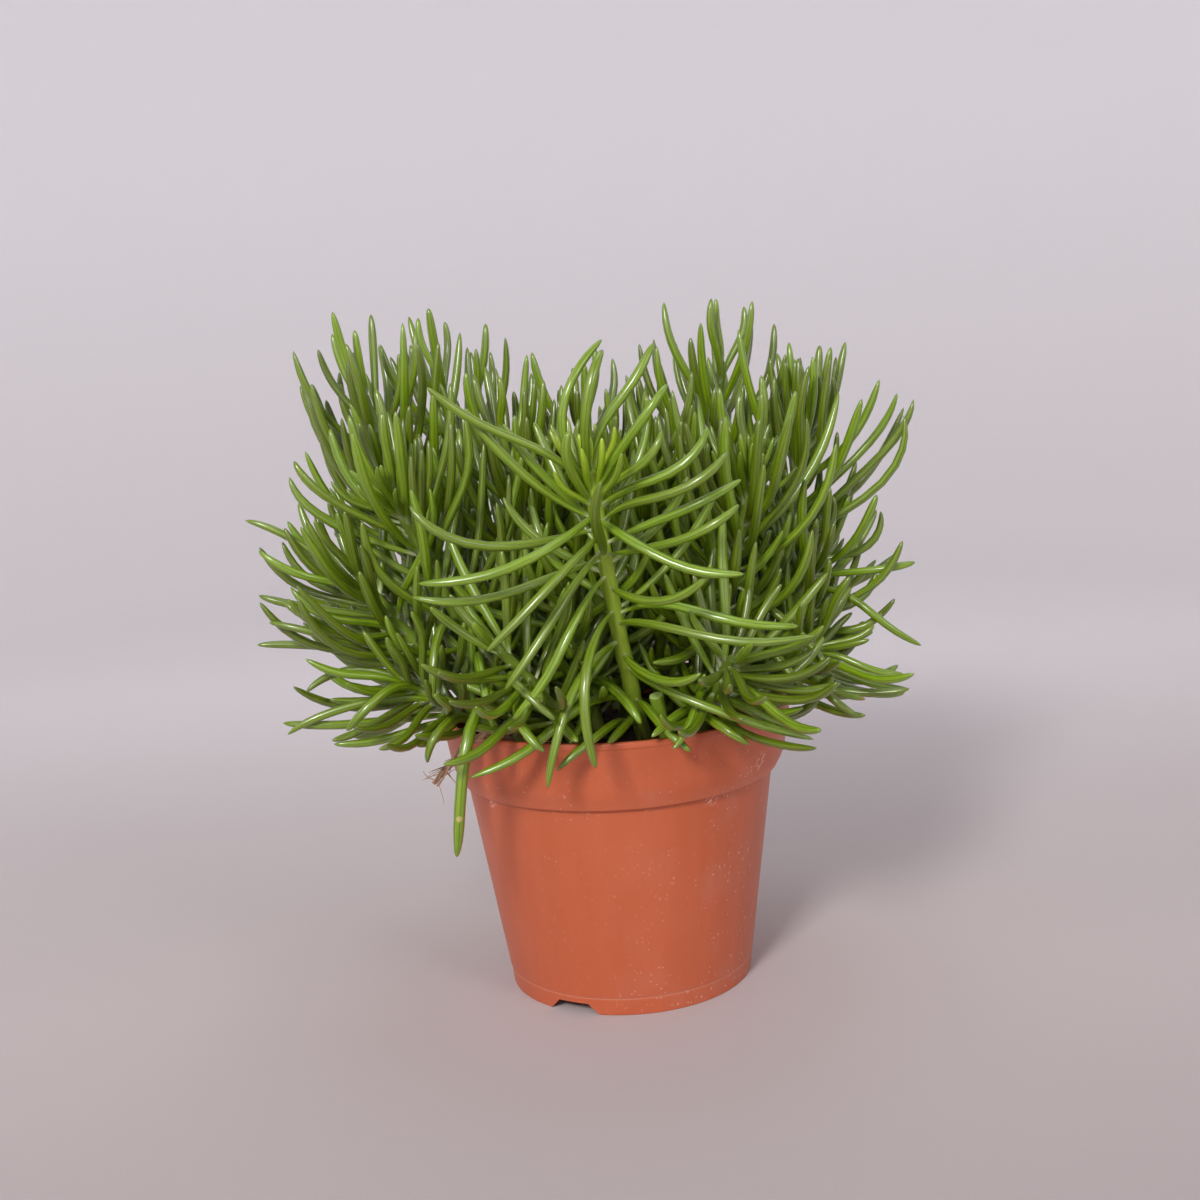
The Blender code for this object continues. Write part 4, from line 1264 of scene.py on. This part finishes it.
def leaf_paint():
    """Fleshy green skin: darker lines run along it, and its root is pale."""
    paint = Paint("leaf_skin", Coat_Weight=0.9, Coat_Roughness=0.2, Coat_IOR=1.5)
    x, y, z = paint.split_attribute("leaf_at")
    share, young, tone = paint.split_attribute("leaf_kind")
    far = x + tone * 87.0
    streak = paint.noise(paint.join(far, y, z * 0.045), 1.5, 2.0, 0.6)
    cloud = paint.noise(paint.join(far, y, z), 0.22, 1.0)
    wave = paint.math("SINE", streak * 2.2 + paint.math("ARCTAN2", y, x) * 7.0)
    line = paint.ramp(wave, 0.55, 0.98) * paint.ramp(share, 0.04, 0.3) * 0.5
    paint.base = paint.mixed(streak, LEAF_DARK, LEAF_LIGHT)
    paint.tint(paint.ramp(cloud, 0.35, 0.75, 0.0, 0.35), LEAF_CLOUD)
    paint.tint(line, LEAF_LINE)
    paint.tint(paint.ramp(young, 0.1, 1.0, 0.0, 0.85), LEAF_YOUNG)
    # The tone varies at random from leaf to leaf, and the darker tones of inner leaves are painted
    # shade
    shifts = {"Hue": tone * 0.016 + 0.495, "Saturation": 1.02, "Value": tone * 0.62 + 0.60}
    paint.base = paint.node("HueSaturation", {**shifts, "Color": paint.base})
    paint.tint(paint.ramp(z, 6.5, 2.2) * 0.8, LEAF_ROOT)
    paint.tint(paint.ramp(share, 0.975, 1.0, 0.0, 0.15), LEAF_TIP)
    place = paint.place()
    for centre, size, dry in MARKS:
        ragged = streak * (size * 0.6 * MM) + paint.away_from(centre, place)
        paint.tint(paint.ramp(ragged, size * 1.5 * MM, size * MM, 0.0, 0.85), dry)
    grain = paint.noise(paint.join(far, y, z * 0.6), 5.0, 1.0)
    height = grain * 0.45 + streak * 0.6 - line
    return paint.finish(paint.ramp(streak, 0.3, 0.75, 0.3, 0.46), height, 0.00016, 0.75)


def bark_paint(name, dark, light):
    """Smooth green bark with pale leaf seats, brown scars and a dull foot."""
    paint = Paint(name)
    x, y, z = paint.split_attribute("leaf_at")
    share, pale, scar = paint.split_attribute("leaf_kind")
    streak = paint.noise(paint.join(x, y, z * 0.12), 1.3, 4.0, 0.6)
    paint.base = paint.mixed(streak, dark, light)
    paint.tint(paint.ramp(share, 0.22, 0.0, 0.0, 0.55), BARK_FOOT)
    paint.tint(paint.ramp(pale, 0.2, 0.9, 0.0, 0.6), BARK_SEAT)
    paint.tint(paint.ramp(scar, 0.0, 0.6, 0.0, 0.6), SCAR_RING)
    paint.tint(paint.ramp(scar, 0.65, 0.95, 0.0, 0.5), SCAR_CORE)
    return paint.finish(paint.ramp(streak, 0.3, 0.7, 0.38, 0.55), streak, 0.00015, 0.5)


def pot_paint():
    """Satin terracotta plastic: faint upright flow bands, fine grain, scuffs and dust."""
    paint = Paint("terracotta_plastic", Specular_IOR_Level=0.4)
    place = paint.place()
    x, y, z = paint.split(place)
    angle = paint.math("ARCTAN2", y, x)
    round_it = paint.join(paint.math("COSINE", angle), paint.math("SINE", angle), z * 2.0)
    bands = paint.noise(round_it, 5.0, 3.0, 0.62)
    cloud = paint.noise(place, 26.0, 2.0, 0.55)
    paint.base = paint.mixed(bands, CLAY_DARK, CLAY_LIGHT)
    paint.tint(paint.ramp(cloud, 0.4, 0.8, 0.0, 0.2), CLAY_CLOUD)
    spot, film = pot_dust(paint, place, x, z)
    paint.tint(spot * 0.7, DUST)
    paint.tint(film * 0.16, DUST_FILM)
    # Painted light: the shaded slope between the step and the foot of the rim band is lightened
    painted_light_under_band = paint.ramp(z, STEP_Z + 0.2 * MM, STEP_Z + 1.0 * MM)
    painted_light_under_band *= paint.ramp(z, BAND_FOOT_Z + 1.0 * MM, STEP_Z + 1.5 * MM)
    paint.tint(painted_light_under_band * 0.4, UNDER_BAND_PAINTED_LIGHT)
    slanting = paint.join((z - x) * 2.2, (z + x) * 0.5, y)
    scratches = paint.ramp(paint.noise(slanting, 650.0, 2.0, 0.6), 0.52, 0.62)
    for centre, size in SCUFFS:
        worn = paint.ramp(paint.away_from(centre, place), size * MM, 0.5 * size * MM, 0.0, 0.7)
        paint.tint(worn * scratches, SCRATCH)
    from_line = paint.math("ABSOLUTE", z - FOOT_BAND_Z)
    paint.tint(paint.ramp(from_line, 0.7 * MM, 0.1 * MM) * 0.45, FOOT_LINE)
    rough = spot * 0.25 + paint.ramp(cloud, 0.25, 0.8, 0.36, 0.47)
    height = paint.noise(place, 900.0, 2.0) * 0.35 + bands * 1.2
    return paint.finish(rough, height, 0.00012, 0.35)


def pot_dust(paint, place, x, z):
    """Where specks and a film of dust lie on the pot: low at the right, and near its step."""
    cloud = paint.noise(place, 60.0, 3.0)
    low_right = paint.ramp(x - z * 0.35, -0.03, 0.035)
    below_step = paint.ramp(z, STEP_Z - 9 * MM, STEP_Z - 1 * MM)
    near_step = below_step - paint.ramp(z, BAND_FOOT_Z, BAND_FOOT_Z + 4 * MM)
    dusty = paint.math("MAXIMUM", low_right, near_step * 0.7)
    dusty = paint.math("MAXIMUM", dusty, 0.22)
    stray = {0: paint.noise(place, 1500.0, 2.0, output="Color"), 1: (0.0011, 0.0011, 0.0016)}
    shaken = paint.node("VectorMath", {**stray, 2: place}, operation="MULTIPLY_ADD")
    spots = []
    for scale, size, rarity in SPECKS:
        near = paint.node("TexVoronoi", {"Vector": shaken, "Scale": scale}, "Distance")
        chance = paint.split(Value(paint, near.socket.node.outputs["Color"]))[0]
        picked = paint.math("GREATER_THAN", chance, rarity)
        spots.append(paint.ramp(near, size * 1.6, size * 0.6) * picked)
    spot = paint.math("MAXIMUM", paint.math("MAXIMUM", spots[0], spots[1]), spots[2])
    return spot * dusty * paint.ramp(cloud, 0.35, 0.6), paint.ramp(cloud, 0.45, 0.8) * dusty


def soil_paint():
    """Moist peat: dark crumbs with lighter fibres."""
    paint = Paint("potting_soil", Specular_IOR_Level=0.25)
    place = paint.place()
    coarse = paint.noise(place, 260.0, 5.0, 0.65)
    fine = paint.noise(place, 1400.0, 3.0, 0.6)
    paint.base = paint.mixed(coarse, SOIL_DARK, SOIL_LIGHT)
    paint.tint(paint.ramp(fine, 0.58, 0.75, 0.0, 0.5), SOIL_FIBRE)
    height = coarse + fine * 0.4
    return paint.finish(paint.ramp(coarse, 0.2, 0.8, 0.75, 0.98), height, 0.0008, 0.8)


def root_paint():
    """Dry brown root skin."""
    paint = Paint("dry_root")
    patch = paint.noise(paint.place(), 420.0, 4.0, 0.6)
    paint.base = paint.mixed(patch, *ROOT_COLOURS)
    return paint.finish(paint.ramp(patch, 0.3, 0.7, 0.75, 0.92), patch, 0.0003, 0.8)


def bead_paint():
    """Pale tan beads on the roots."""
    paint = Paint("root_bead")
    patch = paint.noise(paint.place(), 700.0, 3.0)
    paint.base = paint.mixed(patch, *BEAD_COLOURS)
    return paint.finish(paint.ramp(patch, 0.3, 0.7, 0.5, 0.7))


def stub_paint():
    """The bark of a cut stem, with a pale wet cut at its top."""
    paint = Paint("cut_stem", Coat_Weight=0.15, Coat_Roughness=0.25)
    x, y, z = paint.split_attribute("leaf_at")
    top = paint.split_attribute("leaf_kind")[0]
    streak = paint.noise(paint.join(x, y, z * 0.12), 1.4, 4.0, 0.6)
    paint.base = paint.mixed(streak, *STUB_BARK)
    paint.tint(paint.ramp(z, 8.0, 0.0, 0.0, 0.5), STUB_FOOT)
    paint.tint(paint.ramp(top, 0.0, 1.0, 0.0, 0.85), STUB_CUT)
    return paint.finish(paint.ramp(streak, 0.3, 0.7, 0.36, 0.55), streak, 0.0002, 0.5)


# Pieces


def in_scene(name, mesh):
    obj = bpy.data.objects.new(name, mesh)
    bpy.context.scene.collection.objects.link(obj)
    return obj


def from_bmesh(name, bm):
    mesh = bpy.data.meshes.new(name)
    bm.to_mesh(mesh)
    bm.free()
    return in_scene(name, mesh)


def put(obj, slot, *nodes):
    """Sets a piece down around the pot's axis and has it stand for its solids, if any."""
    obj.data.transform(Matrix.Translation(middle_of_pot()))
    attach(obj, "root")
    if nodes:
        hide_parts(*nodes)


def dress_stems():
    skin = leaf_paint()
    young_bark = bark_paint("young_bark", *YOUNG_BARK)
    old_bark = bark_paint("old_bark", *OLD_BARK)
    plant = Plant()
    plant.grow()
    bounds = box_round_pot(BOX_MARGIN)
    draw = random.Random(SKIN_SEED)
    for name, stem in plant.stems.items():
        tall = name == TALL_STEM
        leaves = plant.leaves[name]
        build = Build()
        cells = Cells(len(leaves) + 1)
        add_bark(build, stem, leaves, cells, draw)
        freshness = TALL_FRESHNESS if tall else OTHER_FRESHNESS
        for leaf in leaves:
            add_leaf(build, leaf, cells, freshness, bounds, draw)
        obj = build.object("foliage_" + name, [skin, young_bark if tall else old_bark])
        put(obj, "leaf", "leafy_stem_" + name)


def turned(name, profile, sides):
    """A solid turned about Z from a profile that starts and ends on the axis."""
    bm = bmesh.new()
    points = [bm.verts.new((radius, 0.0, z)) for radius, z in profile]
    edges = [bm.edges.new(pair) for pair in zip(points, points[1:])]
    bmesh.ops.spin(
        bm,
        geom=points + edges,
        cent=(0, 0, 0),
        axis=(0, 0, 1),
        angle=FULL_TURN,
        steps=sides,
        use_merge=True,
    )
    bmesh.ops.remove_doubles(bm, verts=bm.verts, dist=1e-6)
    bmesh.ops.recalc_face_normals(bm, faces=bm.faces)
    return from_bmesh(name, bm)


def rounded(corners, steps=5):
    """A profile with each corner that has a radius replaced by an arc's worth of points."""
    profile = []
    for k, (r, z, radius) in enumerate(corners):
        if radius == 0:
            profile.append((r, z))
            continue
        here = np.array((r, z))
        ends = []
        for other in (corners[k - 1], corners[k + 1]):
            way = np.array(other[:2]) - here
            ends.append(here + unit(way) * min(radius, np.linalg.norm(way) / 2))
        for step in range(steps + 1):
            profile.append(tuple(on_bend(ends[0], here, ends[1], step / steps)))
    return profile


def cut(obj, cutters):
    """Cuts the cutters from the piece, and removes them."""
    group = bpy.data.collections.new("cutters")
    bpy.context.scene.collection.children.link(group)
    for other in cutters:
        bpy.context.scene.collection.objects.unlink(other)
        group.objects.link(other)
    modifier = obj.modifiers.new("cut", "BOOLEAN")
    modifier.operation = "DIFFERENCE"
    modifier.operand_type = "COLLECTION"
    modifier.collection = group
    graph = bpy.context.evaluated_depsgraph_get()
    made = bpy.data.meshes.new_from_object(obj.evaluated_get(graph))
    obj.modifiers.clear()
    obj.data = made
    for other in cutters:
        bpy.data.objects.remove(other)
    bpy.data.collections.remove(group)


def foot_notch(azimuth):
    """A cutter for one gap in the foot ring, with rounded inner corners."""
    bm = bmesh.new()
    low = NOTCH_WIDTH_BOTTOM / 2 + NOTCH_BELOW
    high = NOTCH_WIDTH_TOP / 2
    wide = high + 0.6 * NOTCH_CORNER
    narrow = high - 0.4 * NOTCH_CORNER
    outline = (
        (-low, -NOTCH_BELOW),
        (low, -NOTCH_BELOW),
        (wide, NOTCH_HEIGHT - NOTCH_CORNER),
        (narrow, NOTCH_HEIGHT),
        (-narrow, NOTCH_HEIGHT),
        (-wide, NOTCH_HEIGHT - NOTCH_CORNER),
    )
    out = np.array((-math.sin(azimuth), -math.cos(azimuth), 0.0))
    along = np.array((math.cos(azimuth), -math.sin(azimuth), 0.0))
    inner, outer = (
        [bm.verts.new(out * reach + along * x + UP * z) for x, z in outline]
        for reach in NOTCH_REACH
    )
    size = len(outline)
    for k in range(size):
        bm.faces.new((inner[k], inner[(k + 1) % size], outer[(k + 1) % size], outer[k]))
    bm.faces.new(inner)
    bm.faces.new(outer)
    bmesh.ops.recalc_face_normals(bm, faces=bm.faces)
    return from_bmesh("notch", bm)


def drain_hole(angle):
    bm = bmesh.new()
    across = DRAIN_CIRCLE_RADIUS * math.cos(angle)
    back = DRAIN_CIRCLE_RADIUS * math.sin(angle)
    bmesh.ops.create_cone(
        bm,
        cap_ends=True,
        segments=DRAIN_HOLE_SIDES,
        radius1=DRAIN_HOLE_RADIUS,
        radius2=DRAIN_HOLE_RADIUS,
        depth=3 * FLOOR_UNDERSIDE_Z,
        matrix=Matrix.Translation((across, back, FLOOR_UNDERSIDE_Z)),
    )
    return from_bmesh("drain", bm)


def dress_pot():
    """The shell with a rounded lip, a soft step, a foot band line, notches and drain holes."""
    side = FOOT_RADIUS + FOOT_BAND_OUT
    inside_rim = RIM_RADIUS - RIM_WALL
    floor = FLOOR_UNDERSIDE_Z + WALL
    corners = (
        (0.0, FLOOR_UNDERSIDE_Z, 0),
        (FOOT_RADIUS - 2 * WALL, FLOOR_UNDERSIDE_Z, 0.5 * MM),
        (39.9 * MM, 0.0, 0.3 * MM),
        (41.8 * MM, 0.0, 0.45 * MM),
        (side, FOOT_BAND_Z, 0.15 * MM),
        (side + 0.35 * MM, FOOT_BAND_Z + 0.35 * MM, 0.25 * MM),
        (STEP_RADIUS - 0.1 * MM, STEP_Z - 0.3 * MM, 0.25 * MM),
        (STEP_RADIUS + 0.3 * MM, STEP_Z + 0.3 * MM, 0.3 * MM),
        (STEP_RADIUS + 1.9 * MM, STEP_Z + 0.85 * MM, 0.45 * MM),
        (BAND_FOOT_RADIUS, BAND_FOOT_Z, 3.0 * MM),
        (RIM_RADIUS - 0.35 * MM, POT_HEIGHT - 2.3 * MM, 0.3 * MM),
        (RIM_RADIUS, POT_HEIGHT - 1.8 * MM, 0.3 * MM),
        (RIM_RADIUS - 0.1 * MM, POT_HEIGHT, 0.7 * MM),
        (inside_rim, POT_HEIGHT, 0.6 * MM),
        (inside_rim - 0.4 * MM, POT_HEIGHT - 1.2 * MM, 0.4 * MM),
        (BAND_FOOT_RADIUS - WALL, BAND_FOOT_Z + 1.0 * MM, 2.0 * MM),
        (STEP_RADIUS - WALL, STEP_Z - 1.0 * MM, 1.0 * MM),
        (side - WALL, floor, 0.6 * MM),
        (0.0, floor, 0),
    )
    shell = turned("nursery_pot", rounded(corners), POT_SIDES)
    cutters = [foot_notch(math.radians(azimuth)) for azimuth in NOTCH_AZIMUTHS]
    cutters += [drain_hole(FULL_TURN * (k + 0.5) / DRAIN_HOLES) for k in range(DRAIN_HOLES)]
    cut(shell, cutters)
    shell.data.shade_smooth()
    shell.data.set_sharp_from_angle(angle=POT_SHARP_ANGLE)
    shell.data.materials.clear()
    shell.data.materials.append(pot_paint())
    put(shell, "terracotta_plastic", "pot")


def dress_soil():
    """The root ball with a crumbly top, and loose crumbs on it."""
    base = FLOOR_UNDERSIDE_Z + WALL + GAP
    inset = WALL + 2 * GAP
    edge = BAND_FOOT_RADIUS - inset

    def surface(radius):
        return np.interp(radius, (SOIL_MOUND_RADIUS, edge), (SOIL_TOP, SOIL_EDGE_Z))

    profile = [
        (0.0, base),
        (FOOT_RADIUS - inset, base),
        (STEP_RADIUS - inset - GAP, STEP_Z - 1.0 * MM),
        (BAND_FOOT_RADIUS - inset - GAP, BAND_FOOT_Z + 1.6 * MM),
    ]
    radii = [edge * (1 - k / SOIL_RINGS) for k in range(SOIL_RINGS)]
    profile += [(radius, surface(radius)) for radius in radii] + [(0.0, SOIL_TOP)]
    ball = turned("soil_ball", profile, SOIL_SIDES)
    for vertex in ball.data.vertices:
        on_top = vertex.co.z > SOIL_EDGE_Z - 1 * MM
        if on_top and math.hypot(vertex.co.x, vertex.co.y) < edge - 0.1 * MM:
            at = vertex.co * 1000
            clods = sum(size * noise.noise(at * fineness) for size, fineness in SOIL_CLODS)
            vertex.co.z += MM * (clods - SOIL_SUNK)
    bm = bmesh.new()
    bm.from_mesh(ball.data)
    draw = random.Random(SOIL_SEED)
    # The crumbs are uneven in the same way on every run
    noise.seed_set(SOIL_SEED)
    for _ in range(CRUMBS):
        add_crumb(bm, edge, surface, draw)
    bm.to_mesh(ball.data)
    bm.free()
    ball.data.shade_smooth()
    ball.data.set_sharp_from_angle(angle=SOIL_SHARP_ANGLE)
    ball.data.materials.append(soil_paint())
    put(ball, "potting_soil", "soil")


def add_crumb(bm, edge, surface, draw):
    """One uneven crumb, half sunk into the soil."""
    radius = (edge - CRUMB_MARGIN) * math.sqrt(draw.random())
    turn = draw.uniform(0, FULL_TURN)
    size = MM * draw.choice(CRUMB_SIZES)
    at = (radius * math.cos(turn), radius * math.sin(turn), surface(radius) - CRUMB_SUNK)
    tilt = Matrix.Rotation(draw.uniform(0, 6), 4, Vector((draw.random(), draw.random(), 1)))
    sizes = (size, size * draw.uniform(*CRUMB_WIDTHS), size * draw.uniform(*CRUMB_HEIGHTS), 1)
    matrix = Matrix.Translation(at) @ tilt @ Matrix.Diagonal(sizes)
    made = bmesh.ops.create_icosphere(bm, subdivisions=1, radius=1.0, matrix=matrix)
    for vertex in made["verts"]:
        vertex.co += CRUMB_UNEVENNESS * size * noise.noise_vector(vertex.co * 900)


def add_tube(build, points, radii, sides, cells, bumps=0.0, seed=0.0, tops=(0.0,)):
    """A round tube. The last values for its material are the tops; the rest are nought."""
    across, ups = carried_frames(points, TUBE_UP)
    out = outward(turns_round(sides), across, ups)
    sizes = np.repeat(radii[:, None], sides, axis=1)
    if bumps:
        for i, point in enumerate(points):
            for k in range(sides):
                at = Vector(point + out[i, k] * radii[i]) * BUMP_FINENESS + Vector((seed, 0, 0))
                sizes[i, k] *= 1 + bumps * noise.noise(at)
    verts = (points[:, None] + sizes[..., None] * out).reshape(-1, 3)
    along = distances(points)
    where = (out * sizes[..., None]).reshape(-1, 3) / MM
    where[:, 2] = np.repeat(along, sides) / MM
    kind = np.zeros((len(points), 3))
    kind[-len(tops) :, 0] = tops
    strip = strip_faces(len(points), sides, cells.next(), along / along[-1])
    build.add(verts, where, np.repeat(kind, sides, axis=0), *strip)


def dress_stubs():
    paint = stub_paint()
    for name, root, top in STUBS:
        foot, neck, end = stub_points(root, top)
        heading = unit(end - neck)
        line = neck + np.linspace(0, 1, STUB_RINGS)[:, None] * (end - neck)
        line[-1] = end - heading * STUB_EDGE_DEPTHS[0]
        points = np.vstack((foot, line, end - heading * STUB_EDGE_DEPTHS[1], end))
        radii = np.full(len(points), STUB_RADIUS)
        radii[1:-3] *= 1 - STUB_WAIST * np.sin(np.linspace(0, math.pi, len(points) - 4))
        radii[-2:] = STUB_EDGE_RADII
        build = Build()
        add_tube(build, points, radii, STUB_SIDES, Cells(1), STUB_BUMPS, len(name), (0.6, 1.0))
        put(build.object(name + "_fine", [paint]), "cut_stem", name)


def strand_curve(points, count):
    """Points on a smooth curve through a few points."""
    fine = np.linspace(0, 1, count)
    knots = on_line(fine, np.linspace(0, 1, len(points)), points)
    for _ in range(2):
        knots[1:-1] = (knots[:-2] + 2 * knots[1:-1] + knots[2:]) / 4
    return knots


def add_root(build, strand, number, cells, draw):
    """A knobbly root with thinner ones wound round it."""
    points = strand_curve(millimetres(strand), ROOT_RINGS[number])
    radii = np.linspace(ROOT_RADIUS, ROOT_END_RADIUS, len(points))
    add_tube(build, points, radii, ROOT_SIDES, cells, ROOT_BUMPS, number * 7.0)
    across, ups = carried_frames(points, UP)
    turns = np.linspace(0, ROOT_TURNS, len(points))[:, None]
    for twist in range(ROOT_TWISTS):
        start = FULL_TURN * twist / ROOT_TWISTS
        round_it = np.cos(turns + start) * across + np.sin(turns + start) * ups
        winding = points + round_it * ROOT_RADIUS * draw.uniform(*TWIST_REACHES)
        thin = ROOT_RADIUS * draw.uniform(*TWIST_THICKNESSES)
        thin = thin * np.linspace(1.0, TWIST_END, len(points))
        add_tube(build, winding, thin, TWIST_SIDES, cells, TWIST_BUMPS, twist + 3.0)


def add_fibre(build, lines, cells, draw):
    """A fine fibre that curls away from a root. It keeps off the rim if it starts above it."""
    line = lines[draw.choice(FIBRE_STRANDS)]
    start = line[int(draw.uniform(*FIBRE_START_SHARES) * len(line))]
    heading = np.array([draw.uniform(*play) for play in FIBRE_HEADINGS])
    curl = np.array([draw.uniform(*play) for play in FIBRE_CURLS])
    length = MM * draw.uniform(*FIBRE_LENGTHS)
    shares = np.linspace(0, 1, FIBRE_RINGS)[:, None]
    points = start + unit(heading) * length * shares
    points = points + curl * length * FIBRE_CURL * shares**2
    if start[2] > POT_HEIGHT:
        points[:, 2] = np.maximum(points[:, 2], POT_HEIGHT + FIBRE_CLEARANCE)
    radii = MM * draw.uniform(*FIBRE_RADII) * np.linspace(1, FIBRE_END, len(points))
    add_tube(build, points, radii, FIBRE_SIDES, cells)


def dress_roots():
    """Roots with fine fibres that curl over the rim, and two pale beads."""
    draw = random.Random(ROOT_SEED)
    build = Build()
    cells = Cells(len(ROOT_STRANDS) * (1 + ROOT_TWISTS) + FIBRES)
    for number, strand in enumerate(ROOT_STRANDS):
        add_root(build, strand, number, cells, draw)
    lines = [strand_curve(millimetres(strand), FIBRE_STARTS) for strand in ROOT_STRANDS]
    for _ in range(FIBRES):
        add_fibre(build, lines, cells, draw)
    put(build.object("dry_root_wisp", [root_paint()]), "dry_root", "dry_roots")
    paint = bead_paint()
    for k, (centre, radius) in enumerate(ROOT_BEADS):
        bm = bmesh.new()
        bmesh.ops.create_uvsphere(
            bm, u_segments=BEAD_SIDES, v_segments=BEAD_RINGS, radius=radius * MM
        )
        for vertex in bm.verts:
            vertex.co *= 1 + BEAD_UNEVENNESS * noise.noise(vertex.co * BEAD_FINENESS)
            vertex.co += Vector(millimetres(centre))
        obj = from_bmesh(f"root_bead_{k}", bm)
        obj.data.shade_smooth()
        obj.data.materials.append(paint)
        put(obj, "dry_root")


# Studio


def studio_floor():
    """A pale floor that curves up all round."""
    profile = [(FLOOR_FLAT * k / FLOOR_STEPS, 0.0) for k in range(FLOOR_STEPS + 1)]
    for k in range(1, 2 * FLOOR_STEPS + 1):
        turn = math.pi / 2 * k / (2 * FLOOR_STEPS)
        out, rise = FLOOR_CURVE * math.sin(turn), FLOOR_CURVE * (1 - math.cos(turn))
        profile.append((FLOOR_FLAT + out, rise))
    profile.append((FLOOR_FLAT + FLOOR_CURVE, FLOOR_CURVE + FLOOR_WALL))
    floor = turned("studio_floor", profile, FLOOR_SIDES)
    floor.data.transform(Matrix.Translation(middle_of_pot()))
    floor.data.shade_smooth()
    paint = Paint("studio_paper", Specular_IOR_Level=0.2)
    _, y, z = paint.split(paint.place())
    # Painted shade and light: the paper darkens towards the front and lightens far back and up the
    # wall
    paint.base = paint.mixed(paint.ramp(y, 0.0, 0.55), PAPER_NEAR_SHADED, PAPER_FAR_LIT)
    paint.tint(paint.ramp(y, 0.0, -0.22), PAPER_FRONT_SHADED)
    paint.tint(paint.ramp(z, 0.0, 0.5), PAPER_HIGH_LIT)
    floor.data.materials.append(paint.finish(0.75))


def studio_light():
    """Soft lamps and a pale sky."""
    scene = bpy.context.scene
    scene.view_settings.view_transform = "Standard"
    world = bpy.data.worlds.new("soft_sky")
    scene.world = world
    world.use_nodes = True
    back = world.node_tree.nodes["Background"]
    back.inputs["Color"].default_value = SKY
    back.inputs["Strength"].default_value = SKY_STRENGTH
    aim = Vector(LAMP_AIM) + middle_of_pot()
    for name, at, size, power, tint in LAMPS:
        lamp = bpy.data.lights.new(name, "AREA")
        lamp.shape = "SQUARE"
        lamp.size = size
        lamp.energy = power
        lamp.color = tint
        obj = in_scene(name, lamp)
        obj.location = Vector(at) + middle_of_pot()
        obj.rotation_euler = (aim - obj.location).to_track_quat("-Z", "Y").to_euler()


def camera():
    """The view of the photograph."""
    data = bpy.data.cameras.new("camera")
    data.sensor_width = SENSOR_MM
    data.lens = FOCAL_SHARE * SENSOR_MM
    data.clip_start = 0.01
    obj = in_scene("camera", data)
    right, up, forward = Vector(CAMERA_RIGHT), Vector(CAMERA_UP), Vector(CAMERA_FORWARD)
    place = Vector(CAMERA_AT) + middle_of_pot()
    obj.matrix_world = Matrix((*zip(right, up, -forward, place), (0, 0, 0, 1)))
    bpy.context.scene.camera = obj


camera()
dress_stems()
dress_pot()
dress_soil()
dress_stubs()
dress_roots()
studio_floor()
studio_light()
